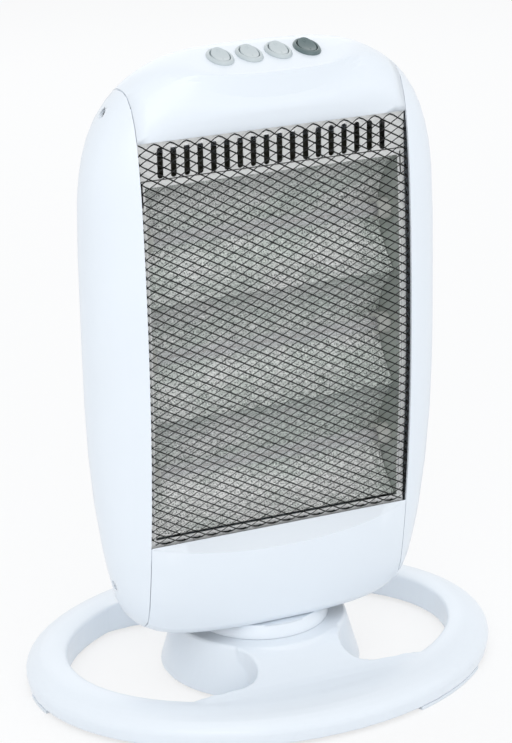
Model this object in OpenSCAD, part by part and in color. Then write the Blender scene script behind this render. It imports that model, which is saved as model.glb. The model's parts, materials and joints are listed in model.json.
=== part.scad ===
// Halogen heater: a bowed body with an expanded-metal guard, swinging on an oval ring base.
// Frame: +Z up, the front faces -Y, the origin is on the floor under the swivel axis.

/* [Body] */
// Greatest width of the body
body_w = 271.4; // [260:0.1:290]
// Height of the body's underside above the floor
body_z0 = 50; // [48:0.5:60]
// Height at which the arch of the top begins
arch_z = 300; // [290:1:310]
// Height of the arch above that line
arch_h = 184; // [176:1:196]
// How much each side narrows down to the underside
taper = 25.7; // [18:0.1:28]
// Height over which the sides narrow
taper_h = 215; // [180:1:230]
// Radius of the outline's two lower corners
corner_r = 25; // [18:0.5:28]
// Distance of the widest line in front of the swivel axis
wide_y = 11; // [8:0.5:14]
// Depth from the widest line to the front crown
front_d = 52.6; // [50:0.1:58]
// Depth from the widest line to the back
back_d = 47; // [44:0.5:54]
// Radius of the front's upright bow
bow_r = 1416; // [1200:1:1800]
// Height at the middle of the bow
bow_z = 270; // [260:1:280]
// Height over which the back rounds into the top
back_round_h = 94; // [80:1:110]
// Rounding from the front and back onto the underside
edge_r = 8; // [5:0.5:10]
// Wall of the body's panels
wall = 2.5; // [2:0.1:3]
// Half-width between the two upright front seams
seam_x = 102.5; // [100:0.5:104]
// Plane where the rear cover meets the front panels
split_y = 12; // [10:0.5:14]
// Open seam between panels
seam_gap = 0.5; // [0.3:0.1:0.8]

/* [Control deck] */
// Height of the body's top over the deck plane at the switch row
deck_drop = 9.4; // [7:0.1:12]
// Place of the switch row in front of the swivel axis
deck_row_y = 25; // [23:0.5:27]
// Rise of the deck towards the back
deck_tilt = 12.4; // [10:0.1:15]
// Half-width of the crescent under the deck's front edge
crescent_x = 76; // [70:0.5:78]
// Height of the crescent in the middle
crescent_h = 18; // [14:0.5:20]
// How far the deck's front edge stands out over the crescent
crescent_out = 3; // [1:0.1:4]

/* [Grille opening] */
// Lower edge of the grille opening
grille_z0 = 127.5; // [124:0.5:132]
// Height from the grille opening's upper edge to the deck plane at the switch row
deck_over_grille = 49.2; // [46.6:0.1:54.6]
// Height of the bevel above the grille
bevel_top = 15; // [11:0.5:17]
// Height of the bevel below the grille
bevel_bottom = 11.5; // [8:0.5:14]

/* [Guard] */
// Diamonds across the guard in a full row
guard_cols = 9; // [6:1:9]
// Full rows of diamonds up the guard
guard_rows = 17; // [10:1:17]
// Width of a strand
strand_w = 2.2; // [1.6:0.1:3]
// Thickness of the guard's sheet
strand_t = 1; // [0.8:0.1:1.4]
// Gap between the guard's edge and the panels
guard_gap = 0.5; // [0.3:0.1:0.8]

/* [Reflector and tubes] */
// Distance of the vent plate behind the panels' front at the grille's upper corners
plate_set_back = 2.9; // [2.5:0.1:3.5]
// Thickness of the sheet metal parts
sheet_t = 0.8; // [0.6:0.1:1]
// Half-width of the reflector opening
mirror_x = 97; // [94:0.5:98]
// Lower edge of the reflector opening
mirror_z0 = 131; // [130:0.5:134]
// Height from the reflector opening's upper edge to that of the grille opening
vent_band = 32.4; // [30.4:0.1:35.4]
// Depth of the reflector's troughs
mirror_d = 29; // [26:0.5:30]
// Number of troughs, each with one tube
trough_count = 3; // [3:1:3]
// Vent slots in a row
slot_count = 18; // [12:1:18]
// Pitch of the vent slots
slot_pitch = 10; // [9.5:0.1:10.4]
// Width of a vent slot
slot_w = 4.4; // [3.6:0.1:5]
// Height from the reflector opening to the vent slots
slot_low_gap = 5.6; // [5:0.1:7]
// Height from the vent slots to the grille opening's upper edge
slot_high_gap = 4.6; // [3.6:0.1:8]
// Outer diameter of a quartz tube
tube_d = 11; // [9:0.5:12]
// Wall of a quartz tube
tube_wall = 1; // [0.8:0.1:1.4]
// Diameter of the heating filament
filament_d = 2.4; // [2:0.1:3]
// Outer diameter of a ceramic end cap
cap_d = 16; // [15:0.5:18]
// Length of a ceramic end cap
cap_len = 20; // [18:0.5:22]

/* [Switches] */
// Number of rocker switches
switch_count = 4; // [4:1:4]
// Pitch of the switches
switch_pitch = 22; // [20.5:0.1:23]
// Width of a switch's oval rim
rim_w = 18.4; // [17.5:0.1:19]
// Length of a switch's oval rim
rim_l = 27; // [25:0.5:28]
// Height of the rim above the deck
rim_h = 2.4; // [1.8:0.1:3]
// Width of a rocker
rocker_w = 12.4; // [11:0.1:12.6]
// Length of a rocker
rocker_l = 18.2; // [17:0.1:18.6]
// Gap round a rocker inside its rim
rocker_gap = 0.5; // [0.5:0.1:0.7]
// Tilt of a rocker to either side
rocker_tilt = 9; // [6:0.5:10]
// Diameter of a rocker's pivot
pivot_d = 2.4; // [2:0.1:2.8]
// Depth of a switch body below the deck
switch_depth = 17; // [15:0.5:20]

/* [Base] */
// Length of the oval ring
ring_w = 363.2; // [350:0.2:380]
// Depth of the oval ring, front to back
ring_d = 289.4; // [280:0.2:300]
// Width of the ring's opening
open_w = 301.2; // [296:0.2:306]
// Depth of the ring's opening, front to back
open_d = 218; // [212:0.2:224]
// Height of the ring's crown
ring_h = 25; // [23:0.5:28]
// Wall of the base moulding
base_wall = 2.8; // [2.4:0.1:3.2]
// Thickness of the foot pads
foot_h = 2.6; // [2:0.1:3]
// Height of the pedestal
pedestal_h = 40; // [39:0.5:41]
// Radius of the pedestal at its top
pedestal_r1 = 65.5; // [64:0.5:68]
// Radius of the pedestal at the floor
pedestal_r0 = 76; // [74:0.5:77]
// Half-width of a tongue at its waist
tongue_waist = 35; // [34:0.5:38]
// Distance of a tongue's waist from the swivel axis
tongue_waist_y = 71; // [69:0.5:73]

/* [Swivel] */
// Radius of the turntable collar
collar_r = 52; // [50:0.5:52]
// Outer radius of the swivel post
post_r = 16; // [15:0.5:17]
// Radius of the cable passage in the post
post_bore_r = 10.5; // [9:0.5:11]
// Running clearance between post and collar
post_clear = 0.05; // [0.02:0.01:0.09]
// Distance of the motor shaft from the swivel axis
motor_x = 21; // [21:0.5:22]
// Throw of the crank pin
crank_throw = 14.7; // [14:0.1:15]
// Diameter of the crank pin
crank_pin_d = 5; // [4:0.5:5]
// Clearance of the crank pin in its slot
crank_clear = 0.7; // [0.6:0.1:0.9]
// Diameter of the swing motor
motor_d = 48; // [44:1:50]
// Height of the swing motor
motor_h = 16; // [14:1:20]

/* [Screws] */
// Diameter of a screw's shank
screw_d = 3.4; // [3:0.1:3.6]
// Diameter of a screw's head
screw_head_d = 6.6; // [6:0.1:7]
// Height of a screw's head
screw_head_h = 2; // [1.6:0.1:2.4]
// Radius of the boss round a screw
boss_r = 6; // [5.5:0.1:6.5]
// Clearance round a screw's shank and head
screw_clear = 0.15; // [0.1:0.05:0.25]

/* [Hidden] */
$fn = 48;

// Colours
body_white = [0.92, 0.95, 0.98];
steel = [0.78, 0.79, 0.8];
mirror_grey = [0.7, 0.72, 0.71];
guard_black = [0.1, 0.11, 0.11];
ceramic = [0.93, 0.91, 0.86];
rocker_light = [0.78, 0.81, 0.83];
rocker_dark = [0.36, 0.42, 0.43];

// Fit between neighbours that do not move against each other
fit = 0.3;
half_w = body_w / 2;
body_top = arch_z + arch_h;
deck_z = body_top - deck_drop;
grille_z1 = deck_z - deck_over_grille;
mirror_z1 = grille_z1 - vent_band;
slot_z0 = mirror_z1 + slot_low_gap;
slot_z1 = grille_z1 - slot_high_gap;
taper_z = body_z0 + taper_h;
// Powers of the plan section, of the arch and of the side taper
plan_n = 2.5;
arch_p = 4.4;
taper_p = 2.6;
deck_front_y = 54;
deck_slope = tan(deck_tilt);
crease_z = deck_at(-deck_front_y) - crescent_h;
grille_edge_y = front_at(seam_x, grille_z1);
// Front plane of the vent plate, in front of the swivel axis
plate_y = -grille_edge_y - plate_set_back;
shoulder = 8;
panel_x = seam_x - seam_gap / 2;
side_x = seam_x + seam_gap / 2;
cover_y = split_y + seam_gap / 2;
front_end_y = split_y - seam_gap / 2;

// ---- Surface of the body ----

// Half-width of the front outline at a height
function outline(z) =
    z > arch_z ? half_w * pow(max(0, 1 - pow((z - arch_z) / arch_h, arch_p)), 1 / plan_n)
    : half_w - (z < taper_z ? taper * pow((taper_z - z) / taper_h, taper_p) : 0)
        - round_in(z, corner_r);
// How far a rounding of radius r draws the surface in above the underside
function round_in(z, r) =
    z >= body_z0 + r ? 0 : r - sqrt(max(0, r * r - pow(body_z0 + r - z, 2)));
// Depth of the section in front of and behind the widest line
function depth_front(z) =
    front_d - pow(min(z, crease_z) - bow_z, 2) / (2 * bow_r) - round_in(z, edge_r);
function depth_back(z) =
    back_d * (z > body_top - back_round_h
        ? sqrt(max(0, 1 - pow((z - body_top + back_round_h) / back_round_h, 2))) : 1)
        - round_in(z, edge_r);
function depth(y, z) = y < -wide_y ? depth_front(z) : depth_back(z);
// Share of a semi-axis left at share u of the other
function section(u) = pow(max(0, 1 - pow(min(1, abs(u)), plan_n)), 1 / plan_n);
function front_at(x, z) = -wide_y - depth_front(z) * section(x / outline(z));
function back_at(x, z) = -wide_y + depth_back(z) * section(x / outline(z));
function side_at(y, z) =
    depth(y, z) > 0.01 ? outline(z) * section((y + wide_y) / depth(y, z)) : 0;
// Level set of the body: below 1 inside
function level(p) =
    pow(abs(p[0]) / max(0.1, outline(p[2])), plan_n)
    + pow(abs(p[1] + wide_y) / max(0.1, depth(p[1], p[2])), plan_n);
// Unit normal of the level set
function normal(p, e = 0.02) =
    let (g = [level(p + [e, 0, 0]) - level(p - [e, 0, 0]),
              level(p + [0, e, 0]) - level(p - [0, e, 0]),
              level(p + [0, 0, e]) - level(p - [0, 0, e])])
    g / max(1e-9, norm(g));
// Height at which the side passes x, found by halving; up is 1 at the top and -1 at the bottom
function edge_height(x, y, up, lo, hi, n = 18) =
    n == 0 ? (lo + hi) / 2
    : let (mid = (lo + hi) / 2, inside = side_at(y, mid) > abs(x))
      (up > 0) == inside ? edge_height(x, y, up, mid, hi, n - 1)
      : edge_height(x, y, up, lo, mid, n - 1);
function under_at(x, y) =
    side_at(y, body_z0 + 0.01) > abs(x) ? body_z0
    : edge_height(x, y, -1, body_z0, body_z0 + corner_r + 20);

// ---- Deck ----

function deck_at(y) = deck_z + (y + deck_row_y) * deck_slope;
function crescent_share(x) = max(0, 1 - pow(x / crescent_x, 2));
function lip_depth(x) = depth_front(crease_z) + crescent_out * crescent_share(x);
// Smooth lesser of two heights
function blend_min(a, b, k = 6) = min(a, b) - pow(max(0, k - abs(a - b)), 2) / (4 * k);
function crown_front(x, y) =
    let (s = section((y + wide_y) / lip_depth(x)), need = s > 0 ? abs(x) / s / half_w : 2)
    need >= 1 ? arch_z : arch_z + arch_h * pow(1 - pow(need, plan_n), 1 / arch_p);
function crown_at(x, y) =
    y < -wide_y ? crown_front(x, y) : edge_height(x, y, 1, arch_z, body_top);
function top_at(x, y) = blend_min(crown_at(x, y), deck_at(y));
// Height of the deck's front edge, which runs out into the shoulder at the sides
function lip_z(x) = min(deck_at(lip_y(x)), crown_at(x, -wide_y) - shoulder);
function lip_y(x) =
    -wide_y - lip_depth(x) * section(x / outline(deck_at(-deck_front_y)));
function lip_front(x) =
    abs(x) < crescent_x - 12 ? lip_y(x)
    : -wide_y - lip_depth(x) * section(x / outline(lip_z(x)));

// ---- Solids from grids of points ----

// Closed solid between two grids of the same rows and columns
module sheet(outer, inner) {
    rows = len(outer);
    cols = len(outer[0]);
    count = rows * cols;
    points = concat([for (r = outer) each r], [for (r = inner) each r]);
    function quad(a, b, c, d) = [[a, b, c], [a, c, d]];
    faces = [
        for (i = [0:rows - 2], j = [0:cols - 2])
            let (a = i * cols + j)
            each concat(quad(a, a + 1, a + cols + 1, a + cols),
                quad(count + a, count + a + cols, count + a + cols + 1, count + a + 1)),
        for (j = [0:cols - 2])
            let (b = (rows - 1) * cols + j)
            each concat(quad(j, count + j, count + j + 1, j + 1),
                quad(b, b + 1, count + b + 1, count + b)),
        for (i = [0:rows - 2])
            let (a = i * cols, b = a + cols - 1)
            each concat(quad(a, a + cols, count + a + cols, count + a),
                quad(b, count + b, count + b + cols, b + cols))
    ];
    polyhedron(points, faces, convexity = 6);
}
// Closed solid through rings of the same number of points, from low to high
module stack(rings) {
    n = len(rings[0]);
    last = (len(rings) - 1) * n;
    faces = concat(
        [for (i = [1:n - 2]) [0, i, i + 1]],
        [for (i = [1:n - 2]) [last, last + i + 1, last + i]],
        [for (k = [0:len(rings) - 2], i = [0:n - 1])
            let (a = k * n + i, b = k * n + (i + 1) % n)
            each [[a, a + n, b + n], [a, b + n, b]]]);
    polyhedron([for (r = rings) each r], faces, convexity = 4);
}
function oval(a, b, z, n = 40) = [for (i = [0:n - 1]) [a * cos(360 * i / n), b * sin(360 * i / n), z]];
// Steps from 0 to 1, closer together at both ends
function ease(n) = [for (i = [0:n]) (1 - cos(180 * i / n)) / 2];
function mix(a, b, t) = a + (b - a) * t;
module mirror_x_if(on) {
    if (on) mirror([1, 0, 0]) children(); else children();
}

// ---- Base ----

ring_crown = 0.32;
ring_widest_z = 12;
ring_sides = 64;
inner_top_z = ring_h - 2.4;
// Point of the ring at angle t, share s from the opening's edge to the outer edge
function ring_point(t, s, z) =
    [mix(open_w, ring_w, s) / 2 * cos(t), mix(open_d, ring_d, s) / 2 * sin(t), z];
ring_web = (ring_w - open_w) / 2;
wall_share = base_wall / ring_web;
ring_outside = concat(
    [[0, foot_h], [0, inner_top_z]],
    [for (a = [60, 30]) [ring_crown * (1 - sin(a)), mix(inner_top_z, ring_h, cos(a))]],
    [for (a = [0:15:90]) [mix(ring_crown, 1, sin(a)), mix(ring_widest_z, ring_h, cos(a))]],
    [[0.95, foot_h]]);
ring_inside = concat(
    [[0.95 - wall_share, foot_h]],
    [for (a = [90:-30:0])
        [mix(ring_crown, 1 - wall_share, sin(a)), mix(ring_widest_z, ring_h - base_wall, cos(a))]],
    [[wall_share, inner_top_z - base_wall], [wall_share, foot_h]]);
ring_profile = concat(ring_outside, ring_inside);

module ring() {
    n = len(ring_profile);
    points = [for (i = [0:ring_sides - 1], q = ring_profile)
        ring_point(360 * i / ring_sides, q[0], q[1])];
    faces = [for (i = [0:ring_sides - 1], j = [0:n - 1])
        let (a = i * n + j, b = i * n + (j + 1) % n,
             c = ((i + 1) % ring_sides) * n + j, d = ((i + 1) % ring_sides) * n + (j + 1) % n)
        each [[a, d, b], [a, c, d]]];
    polyhedron(points, faces, convexity = 8);
}

tongue_under = 6;
tongue_end = open_d / 2 + tongue_under;
tongue_flat = pedestal_r1 - 13.5;
tongue_foot = tongue_end - 15;
tongue_join_z = ring_h - 0.6;
tongue_edge_y = open_d / 2 - 20;
function tongue_z(y) =
    let (t = min(1, max(0, (y - tongue_flat) / (tongue_foot - tongue_flat))))
    mix(pedestal_h, tongue_join_z, (1 - cos(180 * t)) / 2);
// Outline of a tongue in plan: from the pedestal round its waist, along the opening and back under the ring
tongue_plan = concat(
    [[40, 40]],
    [for (a = [-60:20:80]) [tongue_waist + (a < 0 ? 14 : 22) * (1 - cos(a)),
        tongue_waist_y + (a < 0 ? 20 : 17.5) * sin(a)]],
    [[60, tongue_edge_y - 0.4], [70, tongue_edge_y + 0.2], [80, tongue_edge_y - 0.4], [90, tongue_edge_y - 1.6],
     [94, tongue_edge_y + 3], [80, tongue_end - 11], [60, tongue_end - 4], [40, tongue_end]]);
// Height over which a tongue fades into the ring at its sides
tongue_side = [[pedestal_r1 - 3.5, pedestal_h], [pedestal_r1 + 1.5, tongue_join_z + 6.6],
    [pedestal_r1 + 10.5, tongue_join_z + 2.2], [pedestal_r1 + 24.5, tongue_join_z]];
tongue_half = 100;
tongue_core = 30;
tongue_core_y = pedestal_r0 - 0.5;
tongue_core_end = tongue_end - 9;
tongue_core_z = 20;
cover_h = 3;
cavity_top = pedestal_h - base_wall;
cavity_r0 = pedestal_r0 - base_wall - 1;
cavity_r1 = pedestal_r1 - base_wall - 1;
pedestal_edge = 1.4;

module both_sides(points) {
    n = len(points);
    polygon(concat(points, [for (i = [n - 1:-1:0]) [-points[i][0], points[i][1]]]));
}
module tongue_profile() {
    rotate([90, 0, 90])
        linear_extrude(2 * tongue_half, center = true)
            polygon(concat([[0, foot_h], [0, pedestal_h]],
                [for (y = [tongue_flat:8:tongue_foot]) [y, tongue_z(y)]],
                [[tongue_end, tongue_join_z], [tongue_end, foot_h]]));
}
module tongue() {
    intersection() {
        tongue_profile();
        linear_extrude(pedestal_h + 1) both_sides(tongue_plan);
        translate([0, tongue_end + 1, 0]) rotate([90, 0, 0]) linear_extrude(tongue_end + 2)
            both_sides(concat([[0, pedestal_h + 1], [tongue_side[0][0] - 1, pedestal_h + 1]], tongue_side,
                [[tongue_half, tongue_join_z], [tongue_half, 0]]));
    }
}
module pedestal() {
    difference() {
        union() {
            translate([0, 0, foot_h])
                cylinder(r1 = pedestal_r0, r2 = pedestal_r1, h = pedestal_h - foot_h - pedestal_edge, $fn = 72);
            translate([0, 0, pedestal_h - pedestal_edge])
                cylinder(r1 = pedestal_r1, r2 = pedestal_r1 - pedestal_edge, h = pedestal_edge, $fn = 72);
            tongue();
            mirror([0, 1, 0]) tongue();
        }
        cylinder(r1 = cavity_r0, r2 = cavity_r1, h = cavity_top, $fn = 48);
        for (s = [-1, 1]) translate([-tongue_core, s > 0 ? tongue_core_y : -tongue_core_end, -1])
            cube([2 * tongue_core, tongue_core_end - tongue_core_y, tongue_core_z + 1]);
        translate([0, 0, cavity_top - 1])
            cylinder(r = post_r + fit, h = base_wall + 3);
        at_post_screws() translate([0, 0, cavity_top - 1])
            cylinder(d = screw_d + 2 * screw_clear, h = base_wall + 2);
    }
}
module base_moulding() {
    color(body_white) union() {
        ring();
        pedestal();
        at_cover_screws() difference() {
            translate([0, 0, foot_h + cover_h + fit]) cylinder(r = boss_r - 1, h = cavity_top - foot_h - cover_h);
            cylinder(d = screw_d - 0.6, h = foot_h + cover_h + cover_screw_l + 5);
        }
    }
}
foot_angles = [[-53, 14], [-127, 14], [53, 14], [127, 14], [0, 6], [180, 6]];
module foot_pads() {
    color(body_white)
        for (q = foot_angles)
            linear_extrude(foot_h)
                polygon(concat(
                    [for (t = [-1:0.2:1.01]) let (p = ring_point(q[0] + t * q[1], 0.95, 0)) [p[0], p[1]]],
                    [for (t = [1:-0.2:-1.01]) let (p = ring_point(q[0] + t * q[1], 0.8, 0)) [p[0], p[1]]]));
}
cover_screw_r = 46;
cover_screw_l = 9;
module at_cover_screws() {
    for (a = [0:90:270]) rotate(a) translate([cover_screw_r, 0, 0]) children();
}
module pedestal_cover() {
    color(body_white) difference() {
        translate([0, 0, foot_h]) cylinder(r = cavity_r0 - 3.6, h = cover_h);
        at_cover_screws() cylinder(d = screw_d + 2 * screw_clear, h = 20);
        translate([0, 0, foot_h - 1]) cylinder(r = post_bore_r, h = cover_h + 2);
    }
}
module screw(length) {
    cylinder(d = screw_head_d, h = screw_head_h);
    translate([0, 0, screw_head_h - 0.01]) cylinder(d = screw_d - 0.8, h = length);
}
module pedestal_screws() {
    color(steel) at_cover_screws() translate([0, 0, foot_h - screw_head_h]) screw(cover_h + cover_screw_l);
}

// ---- Swivel ----

flange_r = 28;
flange_h = 3;
collar_z0 = pedestal_h + fit;
floor_t = 3;
floor_z1 = body_z0 + floor_t;
sleeve_r = post_r + 4;
sleeve_z1 = floor_z1 + 6;
post_z1 = sleeve_z1 + fit;
drive_t = 4;
drive_r = sleeve_r + 3;
pin_r = crank_pin_d / 2;
swing_max = 35;
crank_ratio = 90 / swing_max;
pin_near = norm([motor_x, crank_throw]);
pin_far = motor_x + crank_throw;
slot_half = pin_r + crank_clear;
tongue_r = slot_half + 3.5;
post_screw_r = 22;

module at_post_screws() {
    for (a = [45:90:315]) rotate(a) translate([post_screw_r, 0, 0]) children();
}
module swivel_post() {
    color(body_white) difference() {
        union() {
            cylinder(r = post_r, h = post_z1);
            translate([0, 0, cavity_top - flange_h]) cylinder(r = flange_r, h = flange_h);
        }
        translate([0, 0, -1]) cylinder(r = post_bore_r, h = post_z1 + 2);
        translate([0, 0, -1]) cylinder(r = post_r + 1, h = cavity_top - flange_h + 1);
        at_post_screws() cylinder(d = screw_d + 2 * screw_clear, h = cavity_top + 1);
        at_plate_screws() translate([0, 0, post_z1 - 8]) cylinder(d = plate_screw_d - 0.4, h = 9);
    }
}
module post_screws() {
    color(steel) at_post_screws()
        translate([0, 0, cavity_top - flange_h - screw_head_h]) screw(flange_h + base_wall - 0.6);
}
plate_screw_d = 2.4;
plate_screw_r = (post_r + post_bore_r) / 2;
module at_plate_screws() {
    for (a = [90, 210, 330]) rotate(a) translate([plate_screw_r, 0, 0]) children();
}
module drive_plate() {
    color(steel) translate([0, 0, post_z1]) difference() {
        union() {
            cylinder(r = drive_r, h = drive_t);
            translate([0, -tongue_r, 0]) cube([pin_far, 2 * tongue_r, drive_t]);
            translate([pin_far, 0, 0]) cylinder(r = tongue_r, h = drive_t);
        }
        translate([0, 0, -1]) cylinder(r = post_bore_r, h = drive_t + 2);
        translate([pin_near - crank_clear, -slot_half, -1])
            cube([pin_far - pin_near + crank_clear, 2 * slot_half, drive_t + 2]);
        for (x = [pin_near - crank_clear, pin_far])
            translate([x, 0, -1]) cylinder(r = slot_half, h = drive_t + 2);
        at_plate_screws() translate([0, 0, -1]) cylinder(d = plate_screw_d + 0.2, h = drive_t + 2);
        at_plate_screws() translate([0, 0, drive_t - 1.4]) cylinder(d = 4.8, h = 2);
    }
}
module drive_plate_screws() {
    color(steel) at_plate_screws() {
        translate([0, 0, post_z1 + drive_t - 1.4]) cylinder(d = 4.6, h = 1.3);
        translate([0, 0, post_z1 - 7]) cylinder(d = plate_screw_d - 0.4, h = drive_t + 6);
    }
}
collar_h = body_z0 - collar_z0;
collar_screw_r = 32;
module at_collar_screws() {
    for (a = [0:90:270]) rotate(a + 45) translate([collar_screw_r, 0, 0]) children();
}
module turntable_collar() {
    belly = 2.4;
    color(body_white) difference() {
        union() {
            translate([0, 0, collar_z0])
                rotate_extrude($fn = 96)
                    polygon(concat([[0, 0]],
                        [for (a = [0:15:90]) [collar_r - belly * (1 - sin(90 - a)) * 1.5, collar_h * a / 90]],
                        [[0, collar_h]]));
            translate([0, 0, collar_z0]) cylinder(r = sleeve_r, h = sleeve_z1 - collar_z0);
        }
        translate([0, 0, collar_z0 - 1]) cylinder(r = post_r + post_clear, h = sleeve_z1);
        translate([0, 0, collar_z0 - 1]) difference() {
            cylinder(r = collar_r - 5, h = collar_h - 2);
            cylinder(r = collar_screw_r + 7, h = collar_h);
        }
        at_collar_screws() {
            translate([0, 0, collar_z0 - 1]) cylinder(d = screw_d + 2 * screw_clear, h = collar_h + 3);
            translate([0, 0, collar_z0 - 1])
                cylinder(d = screw_head_d + 2 * screw_clear, h = screw_head_h + 2);
        }
    }
}
module collar_screws() {
    color(steel) at_collar_screws()
        translate([0, 0, collar_z0 + 1 - screw_clear]) screw(collar_h - screw_head_h + 1);
}

// ---- Chassis ----

floor_edge = 0.9;
floor_probe_z = body_z0 + 0.05;
function floor_outline(grow) = [
    for (i = [0:63])
        let (a = 360 * i / 64, c = cos(a), s = sin(a), d = s < 0 ? depth_front(floor_probe_z)
                : depth_back(floor_probe_z), p = 2 / plan_n)
        [sign(c) * pow(abs(c), p) * (outline(floor_probe_z) - floor_edge + grow),
         -wide_y + sign(s) * pow(abs(s), p) * (d - floor_edge + grow)]
];
rail_t = 1.5;
rail_gap = 1;
rail_x = seam_x - rail_gap - rail_t;
side_screw_low = 40;
side_screw_high = 42;
side_screw_z = [body_z0 + side_screw_low, body_top - side_screw_high];
rail_over_screw = 6;
rail_top_z = side_screw_z[1] + rail_over_screw;
rail_rise = 8;
rail_foot_z = floor_z1 + rail_rise;
rail_set_back = 6;
rail_back_y = split_y - rail_set_back;
rail_flange = 16;
rail_leg_in = 16;
rail_leg_x = rail_x - rail_leg_in;
rail_foot = 14;
rail_screw_y = [-16, -6];
rail_screw_x = rail_leg_x - rail_foot / 2;
module at_rail_screws() {
    for (s = [-1, 1], y = rail_screw_y) translate([s * rail_screw_x, y, 0]) children();
}
module chassis_floor() {
    color(steel) difference() {
        translate([0, 0, body_z0]) linear_extrude(floor_t) polygon(floor_outline(0));
        translate([0, 0, body_z0 - 1]) cylinder(r = sleeve_r + fit, h = floor_t + 2);
        at_collar_screws() translate([0, 0, body_z0 - 1]) cylinder(d = screw_d - 0.6, h = floor_t + 2);
        at_rail_screws() translate([0, 0, body_z0 - 1]) cylinder(d = screw_d - 0.6, h = floor_t + 2);
        at_bracket_feet() translate([0, 0, body_z0 - 1]) cylinder(d = screw_d - 0.6, h = floor_t + 2);
    }
}
function rail_front(z) = max(-plate_y + sheet_t + 0.1, front_at(rail_x + rail_t, z) + wall + 1.5);
rail_foot_y = rail_screw_y[0] - 4;
rail_foot_l = rail_screw_y[1] - rail_screw_y[0] + 8;
module rail() {
    zs = [for (z = [rail_foot_z + 4:12:rail_top_z]) z];
    difference() {
        union() {
            translate([rail_x, 0, 0]) rotate([90, 0, 90]) linear_extrude(rail_t)
                polygon(concat([[rail_foot_y, rail_foot_z]], [for (z = zs) [rail_front(z), z]],
                    [[rail_front(rail_top_z), rail_top_z], [rail_back_y, rail_top_z],
                     [rail_back_y, rail_foot_z]]));
            translate([rail_leg_x, rail_foot_y, rail_foot_z])
                cube([rail_x + rail_t - rail_leg_x, rail_foot_l, rail_t]);
            translate([rail_leg_x, rail_foot_y, floor_z1])
                cube([rail_t, rail_foot_l, rail_foot_z + rail_t - floor_z1]);
            translate([rail_leg_x - rail_foot, rail_foot_y, floor_z1])
                cube([rail_foot + rail_t, rail_foot_l, rail_t]);
            translate([rail_x - rail_flange, rail_back_y - rail_t, rail_foot_z + 2])
                cube([rail_flange + rail_t, rail_t, rail_top_z - rail_foot_z - 2]);
        }
        for (y = rail_screw_y) translate([rail_screw_x, y, floor_z1 - 1])
            cylinder(d = screw_d + 2 * screw_clear, h = rail_t + 2);
        for (z = side_screw_z) translate([rail_x - 1, -wide_y, z]) rotate([0, 90, 0])
            cylinder(d = screw_d - 0.6, h = rail_t + 2);
        for (k = [0:trough_count - 1]) translate([rail_x - 1, tube_y, trough_z(k)]) rotate([0, 90, 0])
            cylinder(r = clip_r + 1.5, h = rail_t + 2);
        for (z = rear_screw_z) translate([rear_screw_x, rail_back_y + 1, z]) rotate([90, 0, 0])
            cylinder(d = screw_d - 0.6, h = rail_t + 2);
    }
}
module left_rail() { color(steel) mirror([1, 0, 0]) rail(); }
module right_rail() { color(steel) rail(); }
module rail_screws() {
    color(steel) at_rail_screws() translate([0, 0, floor_z1 + rail_t + screw_head_h])
        mirror([0, 0, 1]) screw(rail_t + 2);
}
plate_half = seam_x - 0.6;
score_x = mirror_x + 2.1;
score_w = 0.7;
score_depth = 0.4;
score_z = slot_z0 - score_w - 0.3;
hook_slot_l = 16;
module vent_plate() {
    color(steel) difference() {
        vent_sheet();
        translate([-score_x, -plate_y - 1, score_z]) cube([2 * score_x, 1 + score_depth, score_w]);
        for (s = [-1, 1]) translate([s * score_x - score_w / 2, -plate_y - 1, mirror_z0])
            cube([score_w, 1 + score_depth, score_z - mirror_z0 + score_w]);
    }
}
module vent_sheet() {
    z0 = grille_z0 - 2;
    z1 = grille_z1 + 2;
    translate([0, -plate_y + sheet_t, 0]) rotate([90, 0, 0]) linear_extrude(sheet_t)
        difference() {
            translate([-plate_half, z0]) square([2 * plate_half, z1 - z0]);
            for (s = [-1, 1]) translate([s * score_x - 0.6, score_z - hook_slot_l - 2])
                square([1.2, hook_slot_l]);
            translate([-mirror_x, mirror_z0]) square([2 * mirror_x, mirror_z1 - mirror_z0]);
            for (i = [0:slot_count - 1]) translate([(i - (slot_count - 1) / 2) * slot_pitch, 0]) {
                translate([-slot_w / 2, slot_z0 + slot_w / 2])
                    square([slot_w, slot_z1 - slot_z0 - slot_w]);
                for (z = [slot_z0 + slot_w / 2, slot_z1 - slot_w / 2])
                    translate([0, z]) circle(d = slot_w, $fn = 16);
            }
        }
}
mirror_front_y = -plate_y + sheet_t + 0.1;
trough_h = (mirror_z1 - mirror_z0) / trough_count;
trough_steps = 12;
cusp_back = 3;
function trough_z(k) = mirror_z0 + trough_h * (k + 0.5);
// Front face of the reflector sheet, trough by trough
function trough_y(u) = mirror_front_y + cusp_back + (mirror_d - cusp_back) * (1 - u * u);
mirror_edge = fit;
module reflector() {
    face = concat(
        [for (k = [0:trough_count - 1], i = [0:trough_steps - (k < trough_count - 1 ? 1 : 0)])
            let (u = 2 * i / trough_steps - 1) [trough_y(u), trough_z(k) + u * (trough_h / 2 - 0.01)]]);
    back = [for (i = [len(face) - 1:-1:0]) [face[i][0] + sheet_t * 1.5, face[i][1]]];
    color(mirror_grey) translate([-mirror_x + mirror_edge, 0, 0]) rotate([90, 0, 90])
        linear_extrude(2 * (mirror_x - mirror_edge))
            polygon(concat(face, back));
}
tube_y = mirror_front_y + mirror_d - 12;
module end_plate() {
    difference() {
        translate([mirror_x, mirror_front_y, mirror_z0 - 2])
            cube([sheet_t, mirror_d + 2, mirror_z1 - mirror_z0 + 4]);
        for (k = [0:trough_count - 1]) translate([mirror_x - 1, tube_y, trough_z(k)])
            rotate([0, 90, 0]) cylinder(d = cap_d + 2 * fit, h = sheet_t + 2);
    }
}
module left_end_plate() { color(steel) mirror([1, 0, 0]) end_plate(); }
module right_end_plate() { color(steel) end_plate(); }
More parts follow.
